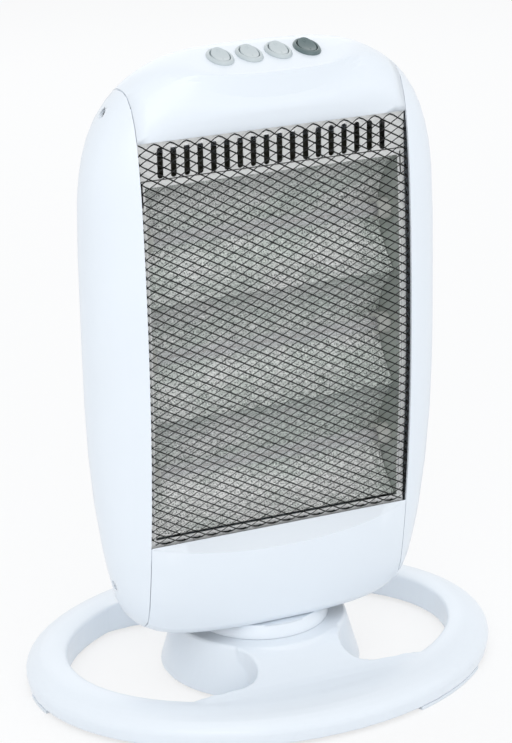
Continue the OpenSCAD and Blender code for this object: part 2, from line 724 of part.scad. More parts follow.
shield_y = mirror_front_y + mirror_d + 3;
module heat_shield() {
    w = rail_x - fit;
    color(guard_black) translate([-w, shield_y, mirror_z0 - 6])
        cube([2 * w, sheet_t, mirror_z1 - mirror_z0 + 20]);
}
cap_out = mirror_x + sheet_t + cap_len / 2;
cap_in = cap_out - cap_len;
module along_x(x0, x1, d) {
    translate([x0, 0, 0]) rotate([0, 90, 0]) cylinder(d = d, h = x1 - x0);
}
module at_tube(k) { translate([0, tube_y, trough_z(k)]) children(); }
cap_seat = 6;
module quartz_tube(k) {
    end = cap_in + cap_seat;
    color([0.9, 0.92, 0.95, 0.5]) at_tube(k) difference() {
        along_x(-end, end, tube_d);
        along_x(-end - 1, end + 1, tube_d - 2 * tube_wall);
    }
}
module filament(k) {
    end = cap_in + cap_seat + 1;
    color([0.55, 0.5, 0.45]) at_tube(k) along_x(-end, end, filament_d);
}
module lower_quartz_tube() { quartz_tube(0); }
module middle_quartz_tube() { quartz_tube(1); }
module upper_quartz_tube() { quartz_tube(2); }
module lower_filament() { filament(0); }
module middle_filament() { filament(1); }
module upper_filament() { filament(2); }
module end_caps() {
    color(ceramic) for (k = [0:trough_count - 1]) at_tube(k) difference() {
        along_x(cap_in, cap_out, cap_d);
        along_x(cap_in - 1, cap_in + cap_seat, tube_d + 0.1);
        along_x(cap_in, cap_in + cap_seat + 2, filament_d + 0.2);
    }
}
module left_end_caps() { mirror([1, 0, 0]) end_caps(); }
module right_end_caps() { end_caps(); }
clip_w = 6;
clip_r = cap_d / 2 + 1.2;
module tube_clips() {
    x0 = mirror_x + sheet_t;
    color(steel) for (k = [0:trough_count - 1]) at_tube(k) difference() {
        union() {
            along_x(x0, x0 + clip_w, 2 * clip_r);
            translate([x0, -clip_r + 2, -clip_r - 1]) cube([1, 2 * clip_r - 4, 2 * clip_r + 2]);
        }
        along_x(x0 - 1, x0 + clip_w + 1, cap_d + 0.1);
    }
}
module left_tube_clips() { mirror([1, 0, 0]) tube_clips(); }
module right_tube_clips() { tube_clips(); }

// ---- Guard ----

guard_half = seam_x - guard_gap;
guard_z0 = grille_z0 + guard_gap;
guard_z1 = grille_z1 - guard_gap;
guard_setback = 0.8;
guard_flange = 1.2;
guard_bend = 0.4;
guard_back_y = -plate_y - 0.1;
guard_x = guard_half - guard_bend;
guard_low = guard_z0 + guard_bend / 2;
guard_high = guard_z1 - guard_bend / 2;
function guard_y(z) = front_at(seam_x, z) + guard_setback;
// Corner i, j of the lattice of diamonds
function lattice(i, j, y_in) =
    let (z = mix(guard_low, guard_high, j / (2 * guard_rows)))
    [mix(-guard_x, guard_x, i / (2 * guard_cols)), guard_y(z) + y_in, z];
module net() {
    cols = 2 * guard_cols;
    rows = 2 * guard_rows;
    per_row = cols + 1;
    all_corners = per_row * (rows + 1);
    cells = [for (j = [1:rows - 1], i = [1:cols - 1]) if ((i + j) % 2 == 0 && (i % 2) == 1) [i, j],
             for (j = [1:rows - 1], i = [1:cols - 1]) if ((i + j) % 2 == 0 && (i % 2) == 0) [i, j]];
    dx = 2 * guard_x / cols;
    dz = (guard_high - guard_low) / rows;
    shrink = 1 - strand_w / 2 * norm([dx, dz]) / (dx * dz);
    function hole(c, side, y_in) =
        let (m = lattice(c[0], c[1], y_in),
             e = lattice(c[0] + side[0], c[1] + side[1], y_in))
        mix(m, e, shrink);
    sides = [[1, 0], [0, 1], [-1, 0], [0, -1]];
    corners = [for (j = [0:rows], i = [0:cols]) lattice(i, j, 0)];
    corners_in = [for (j = [0:rows], i = [0:cols]) lattice(i, j, strand_t)];
    holes = [for (c = cells, s = sides) hole(c, s, 0)];
    holes_in = [for (c = cells, s = sides) hole(c, s, strand_t)];
    a0 = all_corners;
    h0 = 2 * all_corners;
    h1 = h0 + len(holes);
    function at(i, j) = j * per_row + i;
    function ring_faces(k, c) = [
        for (s = [0:3])
            let (n = (s + 1) % 4,
                 p = at(c[0] + sides[s][0], c[1] + sides[s][1]),
                 q = at(c[0] + sides[n][0], c[1] + sides[n][1]),
                 u = h0 + 4 * k + s, v = h0 + 4 * k + n,
                 ui = h1 + 4 * k + s, vi = h1 + 4 * k + n)
            each [[p, u, v], [p, v, q], [a0 + p, a0 + q, vi], [a0 + p, vi, ui],
                  [u, ui, vi], [u, vi, v]]
    ];
    // Half diamonds along the four edges and quarters in the corners stay closed
    rim = [
        for (i = [2:2:cols - 2]) each [[at(i - 1, 0), at(i, 1), at(i + 1, 0)],
            [at(i - 1, rows), at(i + 1, rows), at(i, rows - 1)]],
        for (j = [2:2:rows - 2]) each [[at(0, j - 1), at(0, j + 1), at(1, j)],
            [at(cols, j - 1), at(cols - 1, j), at(cols, j + 1)]],
        [at(0, 0), at(0, 1), at(1, 0)],
        [at(cols, 0), at(cols - 1, 0), at(cols, 1)],
        [at(0, rows), at(1, rows), at(0, rows - 1)],
        [at(cols, rows), at(cols, rows - 1), at(cols - 1, rows)]
    ];
    function stops(n) = concat([0], [for (k = [1:2:n - 1]) k], [n]);
    round_trip = concat([for (i = stops(cols)) at(i, 0)],
        [for (j = stops(rows)) if (j > 0) at(cols, j)],
        [for (i = stops(cols)) if (i > 0) at(cols - i, rows)],
        [for (j = stops(rows)) if (j > 0 && j < rows) at(0, rows - j)]);
    turns = len(round_trip);
    edge = [for (k = [0:turns - 1]) [round_trip[k], round_trip[(k + 1) % turns]]];
    faces = concat([for (k = [0:len(cells) - 1]) each ring_faces(k, cells[k])], rim,
        [for (f = rim) [a0 + f[2], a0 + f[1], a0 + f[0]]],
        [for (e = edge) each [[e[0], e[1], a0 + e[1]], [e[0], a0 + e[1], a0 + e[0]]]]);
    polyhedron(concat(corners, corners_in, holes, holes_in), faces, convexity = 20);
}
module guard_side() {
    zs = [for (k = [0:16]) mix(guard_z0, guard_z1, k / 16)];
    translate([guard_half - guard_flange, 0, 0]) rotate([90, 0, 90]) linear_extrude(guard_flange)
        polygon(concat([for (z = zs) [guard_y(z) + guard_bend, z]],
            [[guard_back_y, guard_z1], [guard_back_y, guard_z0]]));
}
module mesh_guard() {
    color(guard_black) union() {
        net();
        guard_side();
        mirror([1, 0, 0]) guard_side();
        for (z = [guard_z0, guard_z1 - guard_flange])
            translate([-guard_half + guard_bend, guard_y(z) + guard_bend, z])
                cube([2 * (guard_half - guard_bend), guard_back_y - guard_y(z) - guard_bend, guard_flange]);
    }
}

// ---- Panels ----

// Heights from low to high, closer together where the outline turns
function side_low() = edge_height(side_x, -wide_y, -1, body_z0, body_z0 + corner_r + 20);
function side_high() = edge_height(side_x, -wide_y, 1, arch_z, body_top);
rear_screw_in = 8;
rear_screw_x = rail_x - rear_screw_in;
rear_screw_low = 24;
rear_screw_mid = 50;
rear_screw_high = 74;
rear_screw_z = [body_z0 + rear_screw_low, arch_z - rear_screw_mid, body_top - rear_screw_high];
// Heights at each end over which the side sheet's rows lie closer together
side_fan_low = 60;
side_fan_high = 80;
module side_sheet() {
    lo = side_low() + 0.4;
    hi = side_high() - 0.4;
    zs = concat([for (t = ease(8)) mix(lo, lo + side_fan_low, t)],
        [for (k = [1:7]) mix(lo + side_fan_low, hi - side_fan_high, k / 7)],
        [for (t = ease(9)) if (t > 0) mix(hi - side_fan_high, hi, t)]);
    outer = [for (z = zs)
        let (y0 = front_at(side_x, z), y1 = min(front_end_y, back_at(side_x, z)))
        [for (t = ease(9)) let (y = mix(y1, y0, t)) [max(side_x, side_at(y, z)), y, z]]];
    inner = [for (r = outer) [for (p = r)
        let (q = p - wall * normal(p)) [max(side_x, q[0]), min(front_end_y, q[1]), q[2]]]];
    sheet(outer, inner);
}
module side_panel() {
    difference() {
        union() {
            side_sheet();
            for (z = side_screw_z) translate([rail_x + rail_t + 0.1, -wide_y, z]) rotate([0, 90, 0])
                cylinder(r = boss_r, h = screw_seat(z) + 3 - rail_x - rail_t);
        }
        for (z = side_screw_z) translate([rail_x, -wide_y, z]) rotate([0, 90, 0]) {
            cylinder(d = screw_d + 2 * screw_clear, h = 40);
            translate([0, 0, screw_seat(z) - rail_x])
                cylinder(d = screw_head_d + 2 * screw_clear, h = 40);
        }
    }
}
// Where a side screw's head rests, under the lowest wall round its boss
function screw_seat(z) =
    min(side_at(-wide_y, z + boss_r), side_at(-wide_y, z - boss_r)) - wall / 2 - 3;
module left_side_panel() { color(body_white) mirror([1, 0, 0]) side_panel(); }
module right_side_panel() { color(body_white) side_panel(); }
module side_screws() {
    color(steel) for (s = [0, 1], z = side_screw_z) mirror([s, 0, 0])
        translate([screw_seat(z) + screw_head_h, -wide_y, z]) rotate([0, -90, 0])
            screw(screw_seat(z) - rail_x + 2);
}

panel_columns = [for (t = [-1:0.1:1.01]) panel_x * sign(t) * pow(abs(t), 0.86)];
grille_foot_y = front_at(seam_x, grille_z0);
function ridge_top(x) = grille_z1 + bevel_top * sqrt(1 - pow(x / (seam_x + 1.5), 2));
function ridge_bottom(x) = grille_z0 - bevel_bottom * (1 - pow(x / (seam_x + 6), 2));
module top_sheet() {
    function crease(x) = lip_z(x) - max(1.5, crescent_h * pow(crescent_share(x), 0.8));
    function column(x) =
        let (zr = ridge_top(x), zc = max(zr + 1, crease(x)), zl = max(zc + 1, lip_z(x)), yl = lip_front(x),
             yc = front_at(x, zc))
        concat(
            [[[x, grille_edge_y, grille_z1], [x, grille_edge_y + wall * 0.8, grille_z1 + wall * 0.65]]],
            [for (t = [0, 0.5, 1]) let (z = mix(zr, zc, t))
                [[x, front_at(x, z), z], [x, front_at(x, z) + wall, z + (t == 0 ? wall * 0.4 : 0)]]],
            [for (t = [0.5, 1]) [[x, mix(yc, yl, t), mix(zc, zl, t)],
                [x, mix(yc, yl, t) + wall, mix(zc, zl, t) - (t == 1 ? wall : 0)]]],
            [for (k = [1:14]) let (t = pow(k / 14, 1.5), y = mix(yl, front_end_y, t), z = top_at(x, y))
                [[x, y, max(z, zl - 4)], [x, max(y, yl + wall + 0.01 * k), max(z, zl - 4) - wall]]]);
    columns = [for (x = panel_columns) column(x)];
    sheet([for (c = columns) [for (p = c) p[0]]], [for (c = columns) [for (p = c) p[1]]]);
}
rim_cover = 0.85;
deck_hole_a = rim_w / 2 - rim_cover;
deck_hole_b = rim_l / 2 - rim_cover;
function switch_x(i) = (i - (switch_count - 1) / 2) * switch_pitch;
module at_switch(i) {
    translate([switch_x(i), -deck_row_y, deck_z]) rotate([deck_tilt, 0, 0]) children();
}
module top_panel() {
    color(body_white) difference() {
        top_sheet();
        for (i = [0:switch_count - 1]) at_switch(i) translate([0, 0, -8]) linear_extrude(16)
            polygon([for (p = oval(deck_hole_a, deck_hole_b, 0)) [p[0], p[1]]]);
    }
}
module bottom_sheet() {
    function column(x) =
        let (zr = ridge_bottom(x), zu = under_at(x, -wide_y), zt = zu + edge_r, yt = front_at(x, zt))
        concat(
            [[[x, grille_foot_y, grille_z0], [x, grille_foot_y + wall * 0.8, grille_z0 - wall * 0.65]]],
            [for (k = [0:5]) let (z = mix(zr, zt, k / 5))
                [[x, front_at(x, z), z], [x, front_at(x, z) + wall, z - (k == 0 ? wall * 0.4 : 0)]]],
            [for (a = [25, 50, 75, 100]) let (y = yt + edge_r * (1 - cos(a)), z = under_at(x, y))
                [[x, y, z], [x, max(y, yt + wall + a / 1000), z + wall]]],
            [for (t = [0.2:0.2:1.01]) let (y = mix(yt + edge_r * 1.2, front_end_y, t), z = under_at(x, y))
                [[x, y, z], [x, y, z + wall]]]);
    columns = [for (x = panel_columns) column(x)];
    sheet([for (c = columns) [for (i = [len(c) - 1:-1:0]) c[i][0]]],
        [for (c = columns) [for (i = [len(c) - 1:-1:0]) c[i][1]]]);
}
module bottom_panel() {
    color(body_white) difference() {
        bottom_sheet();
        translate([0, 0, body_z0 - 2]) linear_extrude(wall + 6) polygon(floor_outline(fit));
    }
}

// ---- Rear cover ----

louvre_count = 9;
louvre_pitch = 9;
louvre_w = 4;
louvre_l = 110;
louvre_drop = 154;
louvre_z0 = body_top - louvre_drop;
gland_x = -55;
gland_rise = 34;
gland_z = body_z0 + gland_rise;
// Height from which the cover's rows follow the rounding into the top, and the run of their spacing below it
cover_round_z = body_top - back_round_h + 10;
cover_fan = 72;
gland_r = 7;
function cover_half(z) = side_at(cover_y, z);
function cover_high() = edge_height(0.5, cover_y, 1, arch_z, body_top);
module cover_sheet() {
    hi = cover_high() - 0.5;
    zs = concat([for (a = [0, 30, 60, 90]) body_z0 + 0.05 + edge_r * (1 - cos(a))],
        [for (z = [body_z0 + 13, body_z0 + 19, body_z0 + corner_r + 2]) z],
        [for (k = [1:8]) mix(body_z0 + corner_r + 2, cover_round_z, k / 8)],
        [for (t = ease(12)) if (t > 0.5) mix(cover_round_z - cover_fan, hi, t)]);
    outer = [for (z = zs) let (w = cover_half(z))
        [for (t = ease(20)) let (x = mix(-w, w, t))
            [x, (t == 0 || t == 1) ? cover_y : max(cover_y, back_at(x, z)), z]]];
    inner = [for (r = outer) [for (p = r)
        let (q = p - wall * normal(p)) [q[0], max(cover_y, q[1]), q[2]]]];
    sheet(outer, inner);
}
module rear_cover() {
    color(body_white) difference() {
        union() {
            cover_sheet();
            for (s = [-1, 1], z = rear_screw_z) translate([s * rear_screw_x, rail_back_y + 0.2, z])
                rotate([-90, 0, 0]) cylinder(r = boss_r, h = cover_seat(z) + 3 - rail_back_y);
        }
        for (s = [-1, 1], z = rear_screw_z) translate([s * rear_screw_x, rail_back_y - 1, z])
            rotate([-90, 0, 0]) {
                cylinder(d = screw_d + 2 * screw_clear, h = 60);
                translate([0, 0, cover_seat(z) - rail_back_y + 1])
                    cylinder(d = screw_head_d + 2 * screw_clear, h = 40);
            }
        for (i = [0:louvre_count - 1]) translate([0, 10, louvre_z0 + i * louvre_pitch])
            rotate([-90, 0, 0]) linear_extrude(40) {
                square([louvre_l - louvre_w, louvre_w], center = true);
                for (s = [-1, 1]) translate([s * (louvre_l - louvre_w) / 2, 0]) circle(d = louvre_w, $fn = 16);
            }
        translate([gland_x, 10, gland_z]) rotate([-90, 0, 0]) cylinder(r = gland_r + 0.1, h = 40);
    }
}
function cover_seat(z) =
    min(back_at(rear_screw_x + boss_r, z - boss_r), back_at(rear_screw_x + boss_r, z + boss_r)) - wall / 2 - 3;
module rear_screws() {
    color(steel) for (s = [-1, 1], z = rear_screw_z)
        translate([s * rear_screw_x, cover_seat(z) + screw_head_h, z]) rotate([90, 0, 0])
            screw(cover_seat(z) - rail_back_y + 3);
}
module cord_gland() {
    y0 = back_at(gland_x, gland_z);
    color([0.88, 0.9, 0.92]) difference() {
        union() {
            translate([gland_x, y0 - 8, gland_z]) rotate([-90, 0, 0]) cylinder(r = gland_r, h = 14);
            translate([gland_x, y0 + 1.2, gland_z]) rotate([-90, 0, 0]) cylinder(r = gland_r + 2.5, h = 2);
            translate([gland_x, y0 - 8, gland_z]) rotate([-90, 0, 0]) cylinder(r = gland_r + 1.5, h = 2);
        }
        translate([gland_x, y0 - 9, gland_z]) rotate([-90, 0, 0]) cylinder(r = 3.6, h = 20);
    }
}

// ---- Swing drive ----

crank_z0 = post_z1 + drive_t + 1.4;
crank_t = 3;
bridge_z = crank_z0 + crank_t + 1;
bridge_t = 1.5;
bridge_w = 36;
bridge_x0 = -34;
bridge_room = 15;
bridge_x1 = pin_far + tongue_r + bridge_room;
bracket_screw_y = 10;
foot_l = 12;
shaft_r = 3;
motor_z = bridge_z + bridge_t;
motor_ear = 5;
module at_bracket_feet() {
    for (x = [bridge_x0 - foot_l / 2, bridge_x1 + foot_l / 2], y = [-bracket_screw_y, bracket_screw_y])
        translate([x, y, 0]) children();
}
module at_motor_screws() {
    for (s = [-1, 1]) translate([motor_x + s * (motor_d / 2 + motor_ear - 1), 0, 0]) children();
}
module motor_bracket() {
    color(steel) difference() {
        union() {
            translate([bridge_x0, -bridge_w / 2, bridge_z])
                cube([bridge_x1 - bridge_x0, bridge_w, bridge_t]);
            for (x = [bridge_x0, bridge_x1 - bridge_t])
                translate([x, -bridge_w / 2, floor_z1]) cube([bridge_t, bridge_w, bridge_z - floor_z1 + bridge_t]);
            for (x = [bridge_x0 - foot_l, bridge_x1 - bridge_t])
                translate([x, -bridge_w / 2, floor_z1]) cube([foot_l + bridge_t, bridge_w, bridge_t]);
        }
        translate([motor_x, 0, bridge_z - 1]) cylinder(r = shaft_r + 2, h = bridge_t + 2);
        at_motor_screws() translate([0, 0, bridge_z - 1]) cylinder(d = screw_d - 0.6, h = bridge_t + 2);
        at_bracket_feet() translate([0, 0, floor_z1 - 1]) cylinder(d = screw_d + 2 * screw_clear, h = 4);
    }
}
module motor_screws() {
    color(steel) {
        at_motor_screws() translate([0, 0, motor_z + 2 + screw_head_h]) mirror([0, 0, 1]) screw(3.4);
        at_bracket_feet() translate([0, 0, floor_z1 + bridge_t + screw_head_h]) mirror([0, 0, 1])
            screw(bridge_t + 2);
    }
}
module swing_motor() {
    color([0.8, 0.8, 0.78]) translate([motor_x, 0, motor_z]) difference() {
        union() {
            cylinder(d = motor_d, h = motor_h);
            translate([-motor_d / 2 - motor_ear - 3, -6, 0])
                cube([motor_d + 2 * motor_ear + 6, 12, 2]);
        }
        translate([0, 0, -1]) cylinder(r = shaft_r + post_clear, h = motor_h - 3);
        for (s = [-1, 1]) translate([s * (motor_d / 2 + motor_ear - 1), 0, -1]) {
            cylinder(d = screw_d + 2 * screw_clear, h = 4);
            translate([0, 0, 3]) cylinder(d = screw_head_d + 1, h = motor_h);
        }
    }
}
module crank() {
    color(steel) translate([motor_x, 0, crank_z0]) {
        cylinder(r = 8, h = crank_t);
        translate([0, -5, 0]) cube([crank_throw, 10, crank_t]);
        translate([crank_throw, 0, 0]) cylinder(r = 5, h = crank_t);
        translate([crank_throw, 0, post_z1 + 1 - crank_z0]) cylinder(r = pin_r, h = crank_z0 - post_z1);
        cylinder(r = shaft_r, h = bridge_z + bridge_t - crank_z0 + motor_h - 6);
    }
}

// ---- Safety and wiring ----

tip_x = -57.5;
tip_w = 22;
tip_d = 20;
tip_h = 36;
tip_wall = 2;
tip_pivot_z = floor_z1 + tip_h - 7;
tip_pin_r = 1.5;
tip_range = 12;
module tip_switch() {
    color([0.85, 0.85, 0.82]) difference() {
        union() {
            difference() {
                translate([tip_x - tip_w / 2, -wide_y - tip_d / 2, floor_z1]) cube([tip_w, tip_d, tip_h]);
                translate([tip_x - tip_w / 2 + tip_wall, -wide_y - tip_d / 2 + tip_wall, floor_z1 + tip_wall])
                    cube([tip_w - 2 * tip_wall, tip_d - 2 * tip_wall, tip_h - 2 * tip_wall]);
            }
            translate([tip_x, -wide_y + tip_d / 2 - 0.5, tip_pivot_z]) rotate([90, 0, 0])
                cylinder(r = tip_pin_r, h = tip_d - 1);
        }
    }
}
module tip_pendulum() {
    len = 18;
    color(steel) difference() {
        translate([tip_x, -wide_y + 5, tip_pivot_z]) rotate([90, 0, 0]) {
            cylinder(r = 3.2, h = 10);
            translate([-1.5, -len, 3]) cube([3, len, 4]);
            translate([0, -len, 1]) cylinder(r = 4, h = 8);
        }
        translate([tip_x, 0, tip_pivot_z]) rotate([90, 0, 0])
            cylinder(r = tip_pin_r + post_clear, h = 40, center = true);
    }
}
block_x = -64;
block_y = 6;
module terminal_block() {
    color([0.9, 0.9, 0.88]) difference() {
        translate([block_x, block_y, floor_z1]) cube([16, 12, 12]);
        for (k = [0:2]) translate([block_x + 3 + 5 * k, block_y + 6, floor_z1 + 6]) cylinder(r = 1.6, h = 8);
        for (k = [0:2]) translate([block_x + 3 + 5 * k, block_y - 1, floor_z1 + 4]) rotate([-90, 0, 0])
            cylinder(r = 1.5, h = 14);
    }
}
cutout_r = 8;
module thermal_cutout() {
    color([0.25, 0.24, 0.22]) translate([0, shield_y + sheet_t, mirror_z1 - 20]) rotate([-90, 0, 0]) {
        cylinder(r = cutout_r, h = 4);
        cylinder(r = cutout_r - 3, h = 7);
    }
    color(steel) translate([-12, shield_y + sheet_t, mirror_z1 - 22]) cube([24, 0.8, 4]);
}
// Square tube swept along points
module lead(points, r) {
    n = len(points);
    ring_of = [for (i = [0:n - 1])
        let (d = points[min(n - 1, i + 1)] - points[max(0, i - 1)], t = d / norm(d),
             a = abs(t[0]) > 0.9 ? [0, 1, 0] : [1, 0, 0], u = cross(t, a) / norm(cross(t, a)), v = cross(t, u))
        [for (k = [0:5]) points[i] + r * (cos(60 * k) * u + sin(60 * k) * v)]];
    stack(ring_of);
}
wire_y = shield_y + 8;
loom_z = arch_z - 50;
loom_rise = 70;
module wiring_loom() {
    reach = switch_depth + tab_h + 1.2;
    tip = [switch_x(0), -deck_row_y + reach * sin(deck_tilt), deck_z - reach * cos(deck_tilt)];
    color([0.2, 0.2, 0.22])
        lead([[block_x + 8, block_y + 6, floor_z1 + 13], [block_x + 8, block_y + 4, floor_z1 + 30],
            [block_x - 4, wire_y, floor_z1 + loom_rise], [block_x - 8, wire_y, loom_z],
            [block_x, wire_y - 2, mirror_z1], tip + [-14, 18, -26], tip + [-2, 4, -8], tip], 3);
}

// ---- Switches ----

tab_h = 6;
pivot_z = -1;
pivot_r = pivot_d / 2;
pivot_wall = 0.4;
rocker_deep = 5.5;
rocker_rise = 0.4;
rocker_dish = 40;
rocker_a = rocker_w / 2;
rocker_b = rocker_l / 2;
well_a = rocker_a + rocker_gap;
well_b = rocker_b + 2 * rocker_gap;
well_depth = 9;
body_a = deck_hole_a - 0.15;
body_b = deck_hole_b - 0.15;
module oval_post(a, b, z0, z1) {
    translate([0, 0, z0]) linear_extrude(z1 - z0) polygon([for (p = oval(a, b, 0)) [p[0], p[1]]]);
}
module switch_body(i) {
    at_switch(i) difference() {
        union() {
            stack([oval(rim_w / 2, rim_l / 2, 0.05), oval(rim_w / 2 - 0.3, rim_l / 2 - 0.3, rim_h * 0.45),
                oval(rim_w / 2 - 1.2, rim_l / 2 - 1.6, rim_h)]);
            oval_post(body_a, body_b, -switch_depth, 0.2);
            for (y = [-7, 0, 7]) translate([-2, y - 0.4, -switch_depth - tab_h])
                cube([4, 0.8, tab_h + 1]);
        }
        oval_post(well_a, well_b, -well_depth, rim_h + 1);
        translate([0, 0, pivot_z]) rotate([0, 90, 0])
            cylinder(r = pivot_r + post_clear, h = 2 * (body_a - pivot_wall), center = true);
    }
}
// The rocker rests with its front end down
module rocker() {
    translate([0, 0, pivot_z]) rotate([rocker_tilt, 0, 0]) {
        difference() {
            oval_post(rocker_a, rocker_b, -rocker_deep, rim_h + 4);
            translate([0, 0, rocker_dish + rim_h + rocker_rise - pivot_z]) rotate([0, 90, 0])
                cylinder(r = rocker_dish, h = 40, center = true, $fn = 96);
        }
        rotate([0, 90, 0]) cylinder(r = pivot_r, h = 2 * (body_a - pivot_wall - 0.2), center = true);
    }
}
module place_rocker(i) {
    tint = i == switch_count - 1 ? rocker_dark : rocker_light;
    color(tint) at_switch(i) rocker();
}
module switch_body_1() { color(rocker_light) switch_body(0); }
module switch_body_2() { color(rocker_light) switch_body(1); }
module switch_body_3() { color(rocker_light) switch_body(2); }
module switch_body_4() { color(rocker_dark) switch_body(3); }
module rocker_1() { place_rocker(0); }
module rocker_2() { place_rocker(1); }
module rocker_3() { place_rocker(2); }
module rocker_4() { place_rocker(3); }

base_moulding();
foot_pads();
pedestal_cover();
pedestal_screws();
swivel_post();
post_screws();
drive_plate();
drive_plate_screws();
turntable_collar();
collar_screws();
chassis_floor();
left_rail();
right_rail();
rail_screws();
vent_plate();
reflector();
left_end_plate();
right_end_plate();
heat_shield();
lower_quartz_tube();
middle_quartz_tube();
upper_quartz_tube();
lower_filament();
middle_filament();
upper_filament();
left_end_caps();
right_end_caps();
left_tube_clips();
right_tube_clips();
mesh_guard();
left_side_panel();
right_side_panel();
top_panel();
bottom_panel();
rear_cover();
side_screws();
rear_screws();
swing_motor();
motor_bracket();
motor_screws();
crank();
tip_switch();
tip_pendulum();
terminal_block();
thermal_cutout();
cord_gland();
wiring_loom();
switch_body_1();
switch_body_2();
switch_body_3();
switch_body_4();
rocker_1();
rocker_2();
rocker_3();
rocker_4();
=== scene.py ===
"""Looks of a halogen heater on an oval ring base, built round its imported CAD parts.

Blender's metres, +Z up, front to -Y. Sizes and places are written in millimetres and scaled by MM.
"""
import json
from math import cos, pi, radians, sin, sqrt
import bpy
from mathutils import Matrix, Vector


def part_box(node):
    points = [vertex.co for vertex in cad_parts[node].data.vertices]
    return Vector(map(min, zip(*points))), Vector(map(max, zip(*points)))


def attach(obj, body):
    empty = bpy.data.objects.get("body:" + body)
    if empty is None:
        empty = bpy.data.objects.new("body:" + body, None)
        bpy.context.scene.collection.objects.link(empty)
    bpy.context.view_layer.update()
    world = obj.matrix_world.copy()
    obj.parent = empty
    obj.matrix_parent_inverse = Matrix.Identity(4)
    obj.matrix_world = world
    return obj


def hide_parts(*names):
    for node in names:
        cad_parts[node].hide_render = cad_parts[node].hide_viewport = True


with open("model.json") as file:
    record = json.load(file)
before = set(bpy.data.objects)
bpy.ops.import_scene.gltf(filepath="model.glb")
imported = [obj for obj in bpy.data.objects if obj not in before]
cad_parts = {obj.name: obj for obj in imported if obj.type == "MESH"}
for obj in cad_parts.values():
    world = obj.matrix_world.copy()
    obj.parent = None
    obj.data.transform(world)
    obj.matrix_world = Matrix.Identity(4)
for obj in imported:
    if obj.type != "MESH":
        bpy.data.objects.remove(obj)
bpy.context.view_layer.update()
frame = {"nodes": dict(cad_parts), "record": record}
MM = 0.001


# ---- Shader maths ----

class Reading:
    """A number or colour on its way through a tree of nodes."""

    def __init__(self, wiring, socket):
        self.wiring = wiring
        self.socket = socket

    def _math(self, operation, a, b):
        return self.wiring.node("ShaderNodeMath", {"operation": operation}, {0: a, 1: b})

    def __add__(self, other):
        return self._math("ADD", self, other)

    def __radd__(self, other):
        return self._math("ADD", other, self)

    def __mul__(self, other):
        return self._math("MULTIPLY", self, other)

    def __rmul__(self, other):
        return self._math("MULTIPLY", other, self)


class Wiring:
    """The tree of nodes of a material or of the world."""

    def __init__(self, tree):
        self.tree = tree

    def node(self, kind, settings=None, sockets=None, out=0):
        """A node with its settings, then the values or links of its sockets; gives one of its outputs."""
        made = self.tree.nodes.new(kind)
        for key, value in (settings or {}).items():
            if key == "stops":
                for stop, (place, colour) in zip(made.color_ramp.elements, value):
                    stop.position = place
                    stop.color = colour
            else:
                setattr(made, key, value)
        for key, value in (sockets or {}).items():
            self.feed(made.inputs[key], value)
        return None if out is None else Reading(self, made.outputs[out])

    def feed(self, socket, value):
        if isinstance(value, Reading):
            self.tree.links.new(value.socket, socket)
        else:
            socket.default_value = value

    def seen(self):
        """1 where a ray comes from the camera, off a gloss or through glass, and 0 for all other light."""
        camera = self.node("ShaderNodeLightPath", out="Is Camera Ray")
        gloss = self.node("ShaderNodeLightPath", out="Is Glossy Ray")
        glass = self.node("ShaderNodeLightPath", out="Is Transmission Ray")
        clamped_sum = {"operation": "ADD", "use_clamp": True}
        return self.node("ShaderNodeMath", clamped_sum, {0: camera + gloss, 1: glass})


class Finish(Wiring):
    """A material with its Principled shader, and the record's slot that it belongs to."""

    def __init__(self, name, slot, colour, roughness, metallic=0.0, **constants):
        self.slot = slot
        self.material = bpy.data.materials.new(name)
        self.material.use_nodes = True
        self.material.diffuse_color = (*colour, 1.0)
        super().__init__(self.material.node_tree)
        self.shader = next(n for n in self.tree.nodes if n.type == "BSDF_PRINCIPLED")
        self.put("Base Color", (*colour, 1.0))
        self.put("Roughness", roughness)
        self.put("Metallic", metallic)
        for socket, value in constants.items():
            self.put(socket.replace("_", " "), value)

    def put(self, socket, value):
        self.feed(self.shader.inputs[socket], value)

    def place(self, stretch=(1.0, 1.0, 1.0)):
        at = self.node("ShaderNodeTexCoord", out="Object")
        if stretch == (1.0, 1.0, 1.0):
            return at
        return self.node("ShaderNodeMapping", {}, {"Vector": at, "Scale": stretch})

    def noise(self, size, detail=2.0, stretch=(1.0, 1.0, 1.0), roughness=0.5):
        """Cloudy noise from 0 to 1 with features of about the given size in metres."""
        return self.node("ShaderNodeTexNoise", {}, {"Vector": self.place(stretch), "Scale": 1 / size,
                                                    "Detail": detail, "Roughness": roughness}, "Fac")

    def cells(self, size, feature="F1"):
        """Distance from the middles of cells of about the given size in metres."""
        return self.node("ShaderNodeTexVoronoi", {"feature": feature},
                         {"Vector": self.place(), "Scale": 1 / size}, "Distance")

    def blend(self, share, first, second):
        return self.node("ShaderNodeMix", {"data_type": "RGBA"},
                         {0: share, 6: (*first, 1.0) if isinstance(first, tuple) else first,
                          7: (*second, 1.0) if isinstance(second, tuple) else second}, 2)

    def ramp(self, share, stops):
        return self.node("ShaderNodeValToRGB", {"stops": [(p, (c, c, c, 1.0)) for p, c in stops]}, {0: share})

    def relief(self, height, depth, strength=1.0):
        """Bumps of the given depth in metres where height runs from 0 to 1."""
        self.put("Normal", self.node("ShaderNodeBump", {},
                                     {"Strength": strength, "Distance": depth, "Height": height}, "Normal"))


# ---- Finishes ----

